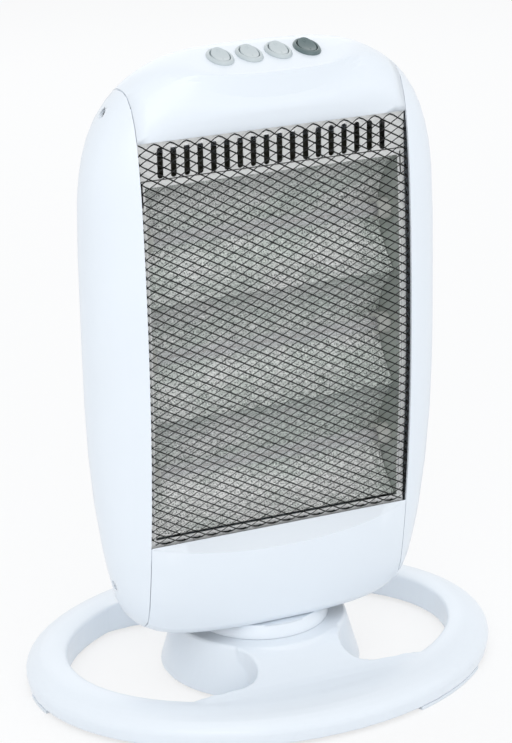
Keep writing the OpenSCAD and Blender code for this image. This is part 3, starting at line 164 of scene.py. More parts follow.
def moulded(name, slot, colour, roughness, coat=0.0):
    """Injection-moulded plastic: fine grain, slow changes in gloss, a hint of handling."""
    finish = Finish(name, slot, colour, roughness, Coat_Weight=coat, Coat_Roughness=0.2)
    cloud = finish.noise(0.06, 3.0)
    finish.put("Base Color", finish.blend(cloud, tuple(c * 0.965 for c in colour), colour))
    finish.put("Roughness", finish.noise(0.018, 4.0) * 0.12 + (roughness - 0.06))
    finish.relief(finish.noise(0.0007, 2.0), 0.00002, 0.5)
    return finish


def sheet_steel(name, slot, colour, roughness, along=(1.0, 60.0, 60.0)):
    """Plated sheet with rolling marks along one axis."""
    finish = Finish(name, slot, colour, roughness, 1.0)
    lines = finish.noise(0.02, 3.0, along)
    spots = finish.noise(0.012, 4.0)
    finish.put("Base Color", finish.blend(spots, tuple(c * 0.86 for c in colour), colour))
    finish.put("Roughness", lines * 0.16 + spots * 0.08 + (roughness - 0.1))
    finish.relief(lines, 0.00002, 0.4)
    return finish


# Height and half-width of the line of painted shade along the score under the vent slots, in metres as the
# patterns are
SCORE_SHADE_Z, SCORE_SHADE_W = 0.39795, 0.0004


def pressed_sheet(name, slot, metallic, dull, bright):
    """Sheet with fine flecks and slow clouds from its pressing, between a dull and a bright tone, and a line
    of painted shade along the score under the vent slots.
    """
    finish = Finish(name, slot, bright, 0.34, metallic)
    fleck = finish.noise(0.0016, 3.0)
    cloud = finish.noise(0.03, 3.0)
    sheet = finish.blend(fleck * 0.5 + cloud * 0.4, dull, bright)
    height = finish.node("ShaderNodeSeparateXYZ", {}, {"Vector": finish.place()}, "Z")
    # Painted shade: a near-black line standing in for the shade in the score under the vent slots
    score_shade = finish.node("ShaderNodeMath", {"operation": "COMPARE"}, {0: height, 1: SCORE_SHADE_Z, 2: SCORE_SHADE_W})
    finish.put("Base Color", finish.blend(score_shade * 0.9, sheet, (0.05, 0.05, 0.045)))
    finish.put("Roughness", fleck * 0.2 + 0.28)
    finish.relief(fleck, 0.00008, 0.6)
    return finish


def hammered_sheet():
    """Aluminium with small hammered dimples that catch the light one by one, and painted shade as dark specks
    in the hollows between them.
    """
    finish = Finish("hammered_aluminium", "hammered_aluminium", (0.86, 0.89, 0.86), 0.3, 0.3)
    dimple = finish.cells(0.0034, "SMOOTH_F1")
    fine = finish.cells(0.0015)
    grit = finish.noise(0.0011, 3.0)
    cloud = finish.noise(0.045, 4.0, (1.0, 1.0, 1.8), 0.6)
    tone = finish.blend(finish.ramp(cloud, [(0.40, 0.0), (0.60, 1.0)]), (0.82, 0.87, 0.83), (1.0, 1.0, 0.99))
    # Painted shade: dark specks standing in for the shade in the hollows between the dimples
    pit_shade = finish.ramp(grit, [(0.38, 1.0), (0.48, 0.0)])
    finish.put("Base Color", finish.blend(pit_shade * 0.88, tone, (0.13, 0.155, 0.14)))
    finish.put("Roughness", finish.noise(0.004, 3.0) * 0.2 + 0.16)
    finish.relief(dimple + fine * 0.5, 0.0013, 1.0)
    return finish


def shade_black_shield():
    """Near-black that stands in for the shade seen through the vent slots, with a film of dust."""
    # Painted shade: the near-black colour is the shade behind the vent slots; the paler clouds are dust
    finish = Finish("shield_shade_black", "shield_black", (0.05, 0.05, 0.035), 0.6)
    dust = finish.noise(0.005, 4.0)
    finish.put("Base Color", finish.blend(dust, (0.045, 0.045, 0.03), (0.075, 0.075, 0.05)))
    finish.relief(dust, 0.00004, 0.5)
    return finish


def quartz_glass():
    """Clear quartz with faint frosting in streaks along the tube."""
    finish = Finish("quartz_glass", "quartz", (0.93, 0.94, 0.95), 0.04, 0.0, IOR=1.46, Alpha=0.2)
    frost = finish.noise(0.01, 3.0, (0.2, 1.0, 1.0))
    finish.put("Roughness", finish.ramp(frost, [(0.35, 0.03), (0.8, 0.16)]))
    finish.put("Base Color", finish.blend(frost, (0.86, 0.87, 0.88), (0.96, 0.97, 0.98)))
    return finish


def fired_ceramic():
    """Unglazed ceramic, fine and speckled."""
    finish = Finish("fired_ceramic", "ceramic", (0.66, 0.66, 0.62), 0.62)
    speck = finish.noise(0.0012, 4.0)
    finish.put("Base Color", finish.blend(speck, (0.52, 0.53, 0.50), (0.74, 0.74, 0.70)))
    finish.relief(speck, 0.00008, 0.8)
    return finish


def black_enamel():
    """Stoved black enamel, paler where it has worn."""
    finish = Finish("black_guard_enamel", "guard_black", (0.01, 0.011, 0.011), 0.4, Specular_IOR_Level=0.25)
    wear = finish.noise(0.006, 4.0)
    worn = finish.ramp(wear, [(0.55, 0.0), (0.85, 1.0)]) * 0.5
    finish.put("Base Color", finish.blend(worn, (0.008, 0.009, 0.009), (0.05, 0.05, 0.047)))
    finish.put("Roughness", wear * 0.2 + 0.34)
    finish.relief(finish.noise(0.0006, 2.0), 0.00003, 0.6)
    return finish


def heating_wire():
    """Resistance wire with the bloom of heat on it."""
    finish = Finish("heating_wire", "filament_wire", (0.30, 0.27, 0.24), 0.42, 0.9)
    bloom = finish.noise(0.008, 3.0)
    finish.put("Base Color", finish.blend(bloom, (0.20, 0.17, 0.15), (0.42, 0.38, 0.34)))
    return finish


def wire_cover():
    """Dark woven sleeve of the wiring."""
    finish = Finish("wire_cover", "wire_insulation", (0.05, 0.05, 0.055), 0.5)
    weave = finish.noise(0.0012, 2.0, (1.0, 1.0, 0.3))
    finish.put("Base Color", finish.blend(weave, (0.03, 0.03, 0.033), (0.09, 0.09, 0.095)))
    finish.relief(weave, 0.0001, 0.6)
    return finish


white_plastic = moulded("white_plastic", "body_plastic", (0.84, 0.895, 0.955), 0.34, 0.25)
pad_white = moulded("pad_plastic", "body_plastic", (0.80, 0.85, 0.90), 0.55)
post_white = moulded("post_plastic", "body_plastic", (0.76, 0.80, 0.84), 0.5)
light_switch = moulded("light_switch_plastic", "light_switch_plastic", (0.56, 0.62, 0.64), 0.36, 0.2)
dark_switch = moulded("dark_switch_plastic", "dark_switch_plastic", (0.115, 0.165, 0.17), 0.33, 0.2)
gland_plastic = moulded("gland_plastic", "gland_plastic", (0.74, 0.78, 0.82), 0.45)
inner_plastic = moulded("inner_plastic", "inner_plastic", (0.50, 0.48, 0.43), 0.5)
plated_steel = sheet_steel("plated_steel", "steel", (0.60, 0.61, 0.62), 0.34)
motor_can = sheet_steel("motor_can", "motor_steel", (0.52, 0.53, 0.52), 0.4, (60.0, 60.0, 1.0))
vent_sheet = pressed_sheet("bright_vent_sheet", "bright_plate", 0.1, (0.88, 0.89, 0.88), (1.0, 1.0, 0.985))
end_sheet = pressed_sheet("dull_end_sheet", "steel", 0.6, (0.42, 0.45, 0.43), (0.62, 0.65, 0.62))
shield_shade_black = shade_black_shield()
hammered = hammered_sheet()
quartz = quartz_glass()
ceramic = fired_ceramic()
enamel = black_enamel()
coil_wire = heating_wire()
wire_skin = wire_cover()


# ---- Making and placing pieces ----

def clear_selection():
    bpy.ops.object.select_all(action="DESELECT")


def active():
    return bpy.context.view_layer.objects.active


def pick(*objs):
    clear_selection()
    for o in objs:
        o.select_set(True)
    bpy.context.view_layer.objects.active = objs[0]


def edit(obj, select="SELECT"):
    pick(obj)
    bpy.ops.object.mode_set(mode="EDIT")
    bpy.ops.mesh.select_mode(type="VERT")
    bpy.ops.mesh.select_all(action=select)


def leave():
    bpy.ops.object.mode_set(mode="OBJECT")


def cut_away(obj, gone):
    """Deletes the corners of a mesh that are marked in a list."""
    edit(obj, "DESELECT")
    leave()
    for v, marked in zip(obj.data.vertices, gone):
        v.select = marked
    bpy.ops.object.mode_set(mode="EDIT")
    bpy.ops.mesh.delete(type="VERT")
    leave()


def settle(obj):
    """Puts the place of an object into its mesh."""
    pick(obj)
    bpy.ops.object.transform_apply(location=True, rotation=True, scale=True)
    return obj


def modify(obj, kind, **settings):
    pick(obj)
    mod = obj.modifiers.new(kind.lower(), kind)
    for key, value in settings.items():
        setattr(mod, key, value)
    bpy.ops.object.modifier_apply(modifier=mod.name)
    return obj


def repeat(obj, count, step):
    """A row of copies in one mesh, each a step on from the last."""
    return modify(obj, "ARRAY", count=count, use_relative_offset=False, use_constant_offset=True,
                  constant_offset_displace=step)


def smooth(obj, angle=32):
    pick(obj)
    bpy.ops.object.shade_smooth_by_angle(angle=radians(angle))
    return obj


def outward(obj):
    edit(obj)
    bpy.ops.mesh.remove_doubles(threshold=0.01 * MM)
    bpy.ops.mesh.normals_make_consistent(inside=False)
    leave()
    return obj


def join(objs, name):
    pick(*objs)
    if len(objs) > 1:
        bpy.ops.object.join()
    active().name = name
    return active()


def twin(obj, place):
    """A copy with its own mesh, moved by a matrix."""
    made = obj.copy()
    made.data = obj.data.copy()
    bpy.context.scene.collection.objects.link(made)
    made.data.transform(place)
    return made


def discard(obj):
    bpy.data.objects.remove(obj, do_unlink=True)


body_of_node = {n: b for b, names in frame["record"]["behaviour"]["bodies"].items() for n in names}


def piece(obj, finish, node, name=None):
    """Gives a finished mesh its material and its body, and hides the CAD node that it stands for."""
    if name:
        obj.name = name
    obj.data.materials.clear()
    obj.data.materials.append(finish.material)
    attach(obj, body_of_node[node])
    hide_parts(node)
    return obj


def merged(node, name=None):
    """A copy of a CAD node with its loose triangles merged into one skin."""
    source = frame["nodes"][node]
    obj = bpy.data.objects.new(name or node + "_skin", source.data.copy())
    bpy.context.scene.collection.objects.link(obj)
    edit(obj)
    bpy.ops.mesh.remove_doubles(threshold=0.004 * MM)
    bpy.ops.mesh.tris_convert_to_quads(face_threshold=radians(4), shape_threshold=radians(40))
    leave()
    return obj


def dressed(node, finish, angle=32, edge=0.0):
    """The CAD node's own shape, smooth with flat broad faces, its edges eased where a width is given."""
    obj = merged(node)
    if edge:
        modify(obj, "BEVEL", width=edge * MM, segments=2, limit_method="ANGLE", angle_limit=radians(50),
               use_clamp_overlap=True, harden_normals=False)
    smooth(obj, angle)
    modify(obj, "WEIGHTED_NORMAL", keep_sharp=True, weight=90)
    return piece(obj, finish, node)


def rings(sections, sides=48):
    """A solid drawn up from a circle through oval rings (half-width, half-length, height)."""
    sections = [(a * MM, b * MM, z * MM) for a, b, z in sections]
    a, b, z = sections[0]
    clear_selection()
    bpy.ops.mesh.primitive_circle_add(vertices=sides, radius=1.0, location=(0, 0, z), fill_type="NGON")
    obj = active()
    obj.scale = (a, b, 1)
    settle(obj)
    edit(obj)
    for a1, b1, z1 in sections[1:]:
        bpy.ops.mesh.extrude_edges_move(TRANSFORM_OT_translate={"value": (0, 0, z1 - z)})
        bpy.ops.transform.resize(value=(a1 / a, b1 / b, 1), center_override=(0, 0, z1))
        a, b, z = a1, b1, z1
    bpy.ops.mesh.edge_face_add()
    leave()
    return outward(obj)


def shift(x, y, z):
    return Matrix.Translation((x * MM, y * MM, z * MM))


def turn(degrees, axis):
    return Matrix.Rotation(radians(degrees), 4, axis)


def facing(axis):
    """Matrix that turns the +Z of a piece along an axis."""
    return Vector((0, 0, 1)).rotation_difference(Vector(axis)).to_matrix().to_4x4()


# ---- Surface of the body, as in the source ----

# Half-width of the body, how far forward it is widest, and the seam between side panels and front
HALF_W, WIDE_Y, SEAM = 135.7, 11.0, 102.5
# Arch over the top: where it begins, and its height
ARCH_Z, ARCH_H = 300, 184
# Sides: the height below which they draw in, over what height they do, and how far
TAPER_Z, TAPER_H, TAPER = 265, 215, 25.7
# Lower corners: the height below which they round off, and their radius
CORNER_Z, CORNER_R = 75, 25
# Front: its greatest depth, the height of that, the height above which it stays, and twice its radius
BULGE, BULGE_Z, BULGE_TOP, BULGE_CURVE = 52.6, 270, 450, 2832
# Front face of the vent plate
PLATE_Y = -38.4


def outline(z):
    """Half-width of the body at a height."""
    if z > ARCH_Z:
        return HALF_W * max(0.0, 1 - ((z - ARCH_Z) / ARCH_H) ** 4.4) ** 0.4
    side = TAPER * ((TAPER_Z - z) / TAPER_H) ** 2.6 if z < TAPER_Z else 0.0
    corner = CORNER_R - sqrt(max(0.0, CORNER_R ** 2 - (CORNER_Z - z) ** 2)) if z < CORNER_Z else 0.0
    return HALF_W - side - corner


def front_at(x, z):
    """Where the body's front surface lies at a width and a height."""
    deep = BULGE - (min(z, BULGE_TOP) - BULGE_Z) ** 2 / BULGE_CURVE
    return -WIDE_Y - deep * max(0.0, 1 - (abs(x) / outline(z)) ** 2.5) ** 0.4


# ---- Base ----

def floor_ring():
    """The ring and pedestal as one moulding, with the joins between its forms softened."""
    obj = merged("base_moulding", "floor_ring")
    modify(obj, "REMESH", mode="VOXEL", voxel_size=1.0 * MM, adaptivity=0.0)
    modify(obj, "SMOOTH", factor=0.5, iterations=7)
    modify(obj, "DECIMATE", decimate_type="COLLAPSE", ratio=0.22)
    smooth(obj, 60)
    return piece(obj, white_plastic, "base_moulding")


floor_ring()
dressed("foot_pads", pad_white, 40, 0.3)
dressed("pedestal_cover", white_plastic, 32, 0.4)
dressed("turntable_collar", white_plastic, 25)
dressed("swivel_post", post_white)
dressed("drive_plate", plated_steel, 32, 0.2)


# ---- Body panels ----

# Middle of the switch row on the deck, the deck's slope, and the space between two switches
DECK_Y, DECK_Z, DECK_TILT, SWITCH_PITCH = -25, 474.6, 12.4, 22
DECK = shift(0, DECK_Y, DECK_Z) @ turn(DECK_TILT, "X")
# Where the crease round the crescent runs: in front of a depth, within a half-width, between two heights
CREASE_Y, CREASE_X, CREASE_LOW, CREASE_HIGH = -40, 80, 445, 472


def top_panel():
    """The top with a flat deck, a crisp crease round the crescent, and a blended bevel over the grille."""
    obj = merged("top_panel")
    edit(obj, "DESELECT")
    bpy.ops.mesh.select_mode(type="EDGE")
    bpy.ops.mesh.edges_select_sharp(sharpness=radians(7))
    leave()
    for e in obj.data.edges:
        a, b = (obj.data.vertices[i].co / MM for i in e.vertices)
        mid = (a + b) / 2
        at_crease = mid.y < CREASE_Y and abs(mid.x) < CREASE_X and CREASE_LOW < mid.z < CREASE_HIGH
        level = abs(a.z - b.z) < abs(a.x - b.x)
        if e.select and at_crease and level:
            e.use_edge_sharp = True
    smooth(obj, 58)
    up = DECK.to_3x3() @ Vector((0, 0, 1))
    for face in obj.data.polygons:
        if face.normal.angle(up) < radians(1):
            face.use_smooth = False
    return piece(obj, white_plastic, "top_panel")


for panel in ("left_side_panel", "right_side_panel", "bottom_panel", "rear_cover"):
    dressed(panel, white_plastic, 36)
top_panel()


# ---- Guard ----

guard_low, guard_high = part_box("mesh_guard")
GUARD_X, GUARD_LOW, GUARD_HIGH = guard_high[0] / MM, guard_low[2] / MM, guard_high[2] / MM
# Rows of knots on the guard's height, rows and columns of the net before it is cut, and a knot's size
GUARD_ROWS, NET_ROWS, NET_COLUMNS = 45, 47, 19
CELL_W, CELL_H = 12.0, (GUARD_HIGH - GUARD_LOW) / GUARD_ROWS
# Radius of the bend at the guard's edges, how deep they go back, and how far the top knots lie under the edge
FOLD_R, FLANGE, TOP_KNOTS = 1.6, 6.0, 0.9
# How far the guard lies behind the body's front at the seam, and its least distance from the vent plate
GUARD_INSET, PLATE_GAP = 0.85, 0.2
# Width and thickness of a strand, its rise midway, and how far its upper edge leans forward, in degrees
RIBBON_W, RIBBON_T, RIBBON_RISE, LEAN = 1.15, 0.52, 0.12, 50
# Arcs over the top row: how much higher they stand, and between which depths under the top knots
ARC_LIFT, ARC_FROM, ARC_TO = 0.5, 0.9, 2.4


def strand(sx, sz):
    """A quarter of a knot: a leaning strand from a cell's middle to its corner, raised a little midway."""
    clear_selection()
    bpy.ops.mesh.primitive_plane_add(size=1.0, location=(0, 0, 0), rotation=(0, pi / 2, 0))
    obj = active()
    obj.scale = (RIBBON_W * MM, RIBBON_T * MM, 1)
    settle(obj)
    obj.data.transform(turn(LEAN * sz, "X"))
    edit(obj)
    for rise in (RIBBON_RISE, -RIBBON_RISE):
        step = (CELL_W / 4 * MM, -rise * sz * MM, CELL_H / 4 * MM)
        bpy.ops.mesh.extrude_region_move(TRANSFORM_OT_translate={"value": step})
    leave()
    obj.data.transform(Matrix.Diagonal((sx, 1, sz, 1)))
    return obj


def fold(u, limit):
    """Where a point u along the flat sheet lies once it is bent back at a limit: (place, depth, turn)."""
    past = abs(u) - (limit - FOLD_R)
    side = 1 if u > 0 else -1
    if past <= 0:
        return u, 0.0, 0.0
    bent = min(past / FOLD_R, pi / 2)
    straight = max(0.0, past - FOLD_R * pi / 2)
    return side * (limit - FOLD_R + FOLD_R * sin(bent)), FOLD_R * (1 - cos(bent)) + straight, side * bent


def mesh_guard():
    """Expanded metal: a flat net of knots, laid over the bowed front and bent back at its edges."""
    net = join([strand(sx, sz) for sx in (-1, 1) for sz in (-1, 1)], "mesh_guard_net")
    net.data.transform(shift(-(NET_COLUMNS // 2) * CELL_W, 0, -(NET_ROWS // 2) * CELL_H))
    repeat(net, NET_COLUMNS, (CELL_W * MM, 0, 0))
    repeat(net, NET_ROWS, (0, 0, CELL_H * MM))
    mid_z = (GUARD_LOW + GUARD_HIGH) / 2
    half_z = (GUARD_HIGH - GUARD_LOW) / 2
    knot_z = half_z - TOP_KNOTS
    spare = []
    for v in net.data.vertices:
        u, t, w = v.co.x / MM, v.co.y / MM, v.co.z / MM + knot_z - GUARD_ROWS / 2 * CELL_H
        x, back_x, turn_x = fold(u, GUARD_X)
        z, back_z, turn_z = fold(min(w, 0), half_z)
        if w > 0:
            z = w + (ARC_LIFT if ARC_FROM < knot_z - w < ARC_TO else 0.0)
        rise = t + 0.5
        front = front_at(SEAM, min(max(mid_z + z, GUARD_LOW), GUARD_HIGH)) + GUARD_INSET
        y = front + back_x + back_z + rise * cos(turn_x) * cos(turn_z)
        at_corner = turn_x != 0 and turn_z != 0 and abs(turn_x) + abs(turn_z) > 2.2
        spare.append(w > knot_z + 0.8 or y > PLATE_Y - PLATE_GAP or max(back_x, back_z) > FLANGE or at_corner)
        v.co = ((x - rise * sin(turn_x)) * MM, y * MM, (mid_z + z - rise * sin(turn_z)) * MM)
    cut_away(net, spare)
    outward(net)
    smooth(net, 40)
    return piece(net, enamel, "mesh_guard")


mesh_guard()


# ---- Vent plate, reflector and tubes ----

# How far behind the guard's edges the sheets' edges stay, and into how many bands they are cut to bow
SHEET_GAP, BOW_BANDS = 1.85, 22
# Height at which the sheets' edges stop bowing forward, and over what height they ease into that
BOW_TOP, BOW_EASE = 397.5, 14
# Reflector: its lower edge, half-width and thickness
MIRROR_LOW, MIRROR_W, MIRROR_T = 131.0, 96.7, 0.8
# Its troughs: how many, their height and depth, where their edges lie, and the steps of a trough's curve
TROUGHS, TROUGH_H, TROUGH_D, TROUGH_EDGE, TROUGH_STEPS = 3, 262 / 3, 26, -33.9, 32
# Heating coil: its radius and its wire's, where its first turn lies, how many it has, and how much one slopes
COIL_R, WIRE_R, COIL_START, COIL_TURNS, COIL_SLOPE = 1.0, 0.2, -88, 127, 0.22
# Space from one turn to the next
COIL_PITCH = 1.4


def bow_forward(obj, low, high, at_edge):
    """Bends the edge of a sheet that a test picks forward, to run a flange's depth behind the bowed guard."""
    edit(obj)
    for k in range(1, BOW_BANDS):
        bpy.ops.mesh.select_all(action="SELECT")
        bpy.ops.mesh.bisect(plane_co=(0, 0, (low + (high - low) * k / BOW_BANDS) * MM), plane_no=(0, 0, 1))
    leave()
    for v in obj.data.vertices:
        x, y, z = (c / MM for c in v.co)
        if at_edge(x, y):
            ease = max(0.0, min(1.0, (BOW_TOP - z) / BOW_EASE))
            v.co.y += ease * min(0.0, front_at(SEAM, z) + SHEET_GAP + FLANGE - PLATE_Y) * MM
    return obj


def vent_plate():
    """The slotted plate, with its side strips bowed."""
    obj = bow_forward(merged("vent_plate"), 131, 393, lambda x, y: abs(x) > 96.9)
    return piece(smooth(obj), vent_sheet, "vent_plate")


def end_plate(side):
    """One end of the reflector, with its front edge bowed."""
    obj = bow_forward(merged(side + "_end_plate"), 129, 395, lambda x, y: y < -37.0)
    return piece(smooth(obj), end_sheet, side + "_end_plate")


def reflector():
    """Three troughs drawn from one edge of sheet, then given the sheet's thickness."""
    profile = []
    for i in range(TROUGHS * TROUGH_STEPS + 1):
        u = 2 * (i / TROUGH_STEPS % 1) - 1
        profile.append((TROUGH_EDGE + TROUGH_D * (1 - u * u), MIRROR_LOW + TROUGH_H * i / TROUGH_STEPS))
    clear_selection()
    bpy.ops.mesh.primitive_plane_add(size=1.0, location=(0, 0, 0))
    obj = active()
    cut_away(obj, [v.co.y > 0 for v in obj.data.vertices])
    edit(obj)
    bpy.ops.transform.resize(value=(2 * MIRROR_W * MM, 1, 1), center_override=(0, 0, 0))
    bpy.ops.transform.translate(value=(0, 0.5 + profile[0][0] * MM, profile[0][1] * MM))
    for (y0, z0), (y1, z1) in zip(profile, profile[1:]):
        step = (0, (y1 - y0) * MM, (z1 - z0) * MM)
        bpy.ops.mesh.extrude_edges_move(TRANSFORM_OT_translate={"value": step})
    bpy.ops.mesh.select_all(action="SELECT")
    bpy.ops.mesh.normals_make_consistent(inside=False)
    leave()
    modify(obj, "SOLIDIFY", thickness=MIRROR_T * MM, offset=0.0)
    outward(obj)
    smooth(obj, 50)
    return piece(obj, hammered, "reflector", "troughed_reflector")


def filament(level):
    """A wound heating coil with straight tails, laid through the middle of its quartz tube."""
    clear_selection()
    bpy.ops.mesh.primitive_torus_add(major_radius=COIL_R * MM, minor_radius=WIRE_R * MM, major_segments=10,
                                     minor_segments=4, rotation=(0, pi / 2 - COIL_SLOPE, 0))
    coil = settle(active())
    coil.data.transform(shift(COIL_START, 0, 0))
    repeat(coil, COIL_TURNS, (COIL_PITCH * MM, 0, 0))
    tails = []
    for s in (-1, 1):
        tail = rings([(0.35, 0.35, 0), (0.45, 0.45, 1), (0.45, 0.45, 6), (0.3, 0.3, 6.6)], 8)
        tail.data.transform(shift(-s * COIL_START, 0, 0) @ facing((s, 0, 0)))
        tails.append(tail)
    obj = join([coil] + tails, level + "_filament_coil")
    low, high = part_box(level + "_quartz_tube")
    obj.data.transform(Matrix.Translation((low + high) / 2))
    smooth(obj, 50)
    return piece(obj, coil_wire, level + "_filament")


vent_plate()
reflector()
for side in ("left", "right"):
    end_plate(side)
    dressed(side + "_end_caps", ceramic, 32, 0.6)
    dressed(side + "_tube_clips", plated_steel)
    dressed(side + "_rail", plated_steel)
# The heat shield's near-black is painted shade for the view through the vent slots
dressed("heat_shield", shield_shade_black, 32, 0.2)
for level in ("lower", "middle", "upper"):
    filament(level)
    dressed(level + "_quartz_tube", quartz, 40)


# ---- Switches ----

# How deep the rockers' pivots lie under the deck, and how far a rocker leans at rest, in degrees
PIVOT_DEPTH, ROCKER_LEAN = 1, 9


def switch_bezel():
    """Oval rim with a sloping flank, a rounded lip and a deep well, over the housing and its three tabs."""
    housing = [(8.2, 12.5, -17), (8.2, 12.5, 0.05)]
    flank = [(9.15, 13.45, 0.06), (9.2, 13.5, 0.35), (9.0, 13.3, 0.9), (8.5, 12.75, 1.7), (8.1, 12.2, 2.15)]
    lip = [(7.7, 11.7, 2.38), (7.2, 11.0, 2.36), (6.85, 10.4, 2.1), (6.72, 10.15, 1.6)]
    shell = rings(housing + flank + lip + [(6.7, 10.12, -9.0)], 64)
    tabs = []
    for y in (-7, 0, 7):
        tab = rings([(2, 0.4, 0.5), (2, 0.4, -5), (1.6, 0.35, -6)], 4)
        tab.data.transform(shift(0, y, -17) @ turn(45, "Z"))
        tabs.append(tab)
    return smooth(join([shell] + tabs, "switch_bezel"), 40)


def rocker_cap():
    """Oval rocker with a dished top and softened rim, a bar mark at one end and a ring mark at the other."""
    side = [(5.7, 8.6, -5.5), (6.1, 9.0, -4.9), (6.2, 9.1, 2.6), (6.1, 8.95, 3.1), (5.8, 8.6, 3.45)]
    dish = [(5.3, 7.9, 3.5), (4.0, 6.0, 3.35), (2.6, 3.9, 3.2), (1.2, 1.9, 3.15)]
    cap = rings(side + dish, 56)
    for v in cap.data.vertices:
        if v.co.z > 1.5 * MM:
            v.co.z += (v.co.y / MM) ** 2 / 80 * MM
    pins = []
    for s in (-1, 1):
        pin = rings([(1.2, 1.2, 5.6), (1.2, 1.2, 7.3), (1.0, 1.0, 7.55)], 20)
        pin.data.transform(facing((s, 0, 0)))
        pins.append(pin)
    bar = rings([(0.35, 1.25, -0.3), (0.35, 1.25, 0.16), (0.22, 1.1, 0.26)], 12)
    clear_selection()
    bpy.ops.mesh.primitive_torus_add(major_radius=1.15 * MM, minor_radius=0.26 * MM, major_segments=28,
                                     minor_segments=8)
    ring = active()
    for mark, y, slope in ((bar, -5.2, -11.8), (ring, 5.3, 11.8)):
        mark.data.transform(shift(0, y, 3.65) @ turn(slope, "X"))
    return smooth(join([cap, bar, ring] + pins, "rocker_cap"), 40)


bezel = switch_bezel()
cap = rocker_cap()
for i in range(4):
    at = shift((i - 1.5) * SWITCH_PITCH, 0, 0) @ DECK
    plastic = dark_switch if i == 3 else light_switch
    piece(twin(bezel, at), plastic, "switch_body_%d" % (i + 1), "bezel_%d" % (i + 1))
    resting = at @ shift(0, 0, -PIVOT_DEPTH) @ turn(ROCKER_LEAN, "X")
    piece(twin(cap, resting), plastic, "rocker_%d" % (i + 1), "rocker_cap_%d" % (i + 1))
discard(bezel)
discard(cap)


# ---- Screws ----

def screw(head_r, head_h, shank_r, length):
    """Pan head with a cross recess, on a shank, pointing along -Z with the head's top at 0."""
    dome = [(1, -1), (1, -0.45), (0.93, -0.2), (0.8, -0.06), (0.6, 0)]
    head = rings([(head_r * wide, head_r * wide, head_h * high) for wide, high in dome], 28)
    for across in (0, pi / 2):
        clear_selection()
        bpy.ops.mesh.primitive_cube_add(size=1.0, location=(0, 0, 0), rotation=(0, 0, across))
        cutter = active()
        cutter.scale = (head_r * 1.05 * MM, head_r * 0.26 * MM, head_h * 1.1 * MM)
        settle(cutter)
        modify(head, "BOOLEAN", operation="DIFFERENCE", object=cutter, solver="EXACT")
        discard(cutter)
    shank = rings([(shank_r * 0.5, shank_r * 0.5, -length), (shank_r, shank_r, -length + shank_r),
                   (shank_r, shank_r, -head_h * 0.9)], 20)
    return smooth(join([head, shank], "screw"), 35)


def screw_set(node, places, axis, **size):
    """All the screws of one CAD node, their heads' tops at the places and facing along the axis."""
    model = screw(**size)
    made = [twin(model, shift(*place) @ facing(axis)) for place in places]
    discard(model)
    return piece(join(made, node + "_set"), plated_steel, node)


def around(radius, start, count, z):
    """Places spaced evenly round a circle at a height, from a first angle in degrees."""
    angles = [radians(start + 360 * i / count) for i in range(count)]
    return [(radius * cos(angle), radius * sin(angle), z) for angle in angles]


UP, DOWN = (0, 0, 1), (0, 0, -1)
M3 = dict(head_r=3.3, head_h=2.0, shank_r=1.3)
SMALL = dict(head_r=2.3, head_h=1.3, shank_r=1.0)
screw_set("pedestal_screws", around(46, 0, 4, 0.6), DOWN, length=13.9, **M3)
screw_set("post_screws", around(22, 45, 4, 32.2), DOWN, length=7.1, **M3)
screw_set("collar_screws", around(32, 45, 4, 41.15), DOWN, length=10.6, **M3)
screw_set("rail_screws", [(s * 77, y, 56.5) for s in (-1, 1) for y in (-16, -6)], UP, length=5.4, **M3)
screw_set("drive_plate_screws", around(13.25, 90, 3, 63.2), UP, length=10.8, **SMALL)


# ---- Swing drive, safety parts, outer screws and wiring ----

def wiring_loom():
    """The bundle of wires, rounded along its route."""
    obj = merged("wiring_loom")
    modify(obj, "SUBSURF", levels=2, render_levels=2)
    smooth(obj, 60)
    return piece(obj, wire_skin, "wiring_loom")


dressed("crank", plated_steel, 32, 0.15)
dressed("motor_bracket", plated_steel)
dressed("swing_motor", motor_can, 32, 0.5)
dressed("chassis_floor", plated_steel)
dressed("tip_switch", inner_plastic, 32, 0.3)
dressed("tip_pendulum", plated_steel)
dressed("terminal_block", inner_plastic, 32, 0.3)
dressed("thermal_cutout", inner_plastic)
dressed("cord_gland", gland_plastic)
for node in ("side_screws", "rear_screws", "motor_screws"):
    dressed(node, plated_steel)
wiring_loom()


# ---- Stage, light and camera, in metres ----

FLOOR_SIZE, FLOOR_Z = 12.0, -0.0002
# How much of the floor shows as plain white, the rest taking light and the object's shadow
FLOOR_WHITE = 0.72
# Strength of the even light from all round
FILL_STRENGTH = 0.86
# What the lamps point at, and each lamp's name, place, width and power in watts
LAMP_AIM = (0, 0, 0.25)
LAMPS = (("key_lamp", (-1.1, -2.1, 1.3), 1.6, 10.0),
         ("fill_lamp", (1.7, -1.2, 0.9), 1.4, 1.2),
         ("top_lamp", (-0.2, -0.9, 2.2), 1.6, 4.5),
         ("back_lamp", (0.6, 2.0, 1.2), 1.4, 3.0))
# Camera: its place and the direction it is seen in from the object
CAMERA_AT = (-0.7090, -1.5995, 0.8600)
AZIMUTH, ELEVATION, ROLL = radians(-23.93), radians(19.74), radians(-1.06)
# Its focal length and the picture's height in pixels, and the height of its sensor in millimetres
FOCAL_PIXELS, PICTURE_H, SENSOR_H = 2536.4, 743, 36.0


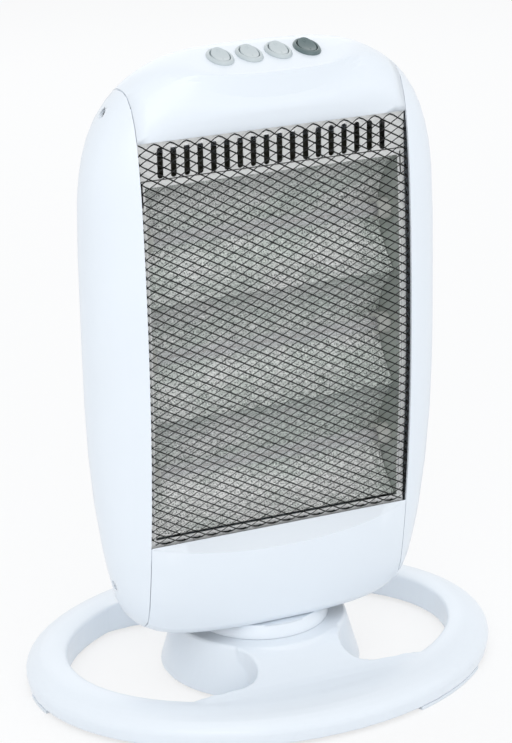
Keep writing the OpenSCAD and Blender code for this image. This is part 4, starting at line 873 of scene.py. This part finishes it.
def stage_floor():
    clear_selection()
    bpy.ops.mesh.primitive_plane_add(size=FLOOR_SIZE, location=(0, 0, FLOOR_Z))
    floor = active()
    floor.name = "studio_floor"
    material = bpy.data.materials.new("studio_floor")
    material.use_nodes = True
    material.node_tree.nodes.clear()
    ground = Wiring(material.node_tree)
    matt = ground.node("ShaderNodeBsdfDiffuse", {}, {"Color": (0.93, 0.94, 0.95, 1)})
    glow = ground.node("ShaderNodeEmission", {}, {"Strength": 1.0})
    look = ground.node("ShaderNodeMixShader", {}, {0: ground.seen() * FLOOR_WHITE, 1: matt, 2: glow})
    ground.node("ShaderNodeOutputMaterial", {}, {"Surface": look}, None)
    floor.data.materials.append(material)


def studio_light():
    world = bpy.data.worlds.new("studio")
    bpy.context.scene.world = world
    world.use_nodes = True
    world.node_tree.nodes.clear()
    sky = Wiring(world.node_tree)
    fill = sky.node("ShaderNodeBackground", {}, {"Color": (0.97, 0.985, 1.0, 1), "Strength": FILL_STRENGTH})
    white = sky.node("ShaderNodeBackground", {}, {"Color": (1, 1, 1, 1), "Strength": 1.0})
    look = sky.node("ShaderNodeMixShader", {}, {0: sky.seen(), 1: fill, 2: white})
    sky.node("ShaderNodeOutputWorld", {}, {"Surface": look}, None)
    for name, spot, width, power in LAMPS:
        light = bpy.data.lights.new(name, "AREA")
        light.size = width
        light.energy = power
        lamp = bpy.data.objects.new(name, light)
        lamp.location = spot
        lamp.rotation_euler = (Vector(LAMP_AIM) - Vector(spot)).to_track_quat("-Z", "Y").to_euler()
        bpy.context.scene.collection.objects.link(lamp)


def photo_camera():
    """The camera at the photograph's angle, given by its right, up and back directions."""
    back = Vector((sin(AZIMUTH) * cos(ELEVATION), -cos(AZIMUTH) * cos(ELEVATION), sin(ELEVATION)))
    level = Vector((cos(AZIMUTH), sin(AZIMUTH), 0))
    rise = back.cross(level)
    right = cos(ROLL) * level + sin(ROLL) * rise
    up = -sin(ROLL) * level + cos(ROLL) * rise
    lens = bpy.data.cameras.new("photo_camera")
    lens.sensor_fit = "VERTICAL"
    lens.sensor_height = SENSOR_H
    lens.lens = FOCAL_PIXELS / PICTURE_H * SENSOR_H
    camera = bpy.data.objects.new("photo_camera", lens)
    camera.matrix_world = Matrix.Translation(CAMERA_AT) @ Matrix((right, up, back)).transposed().to_4x4()
    bpy.context.scene.collection.objects.link(camera)
    bpy.context.scene.camera = camera


stage_floor()
studio_light()
photo_camera()
bpy.context.scene.view_settings.view_transform = "Standard"
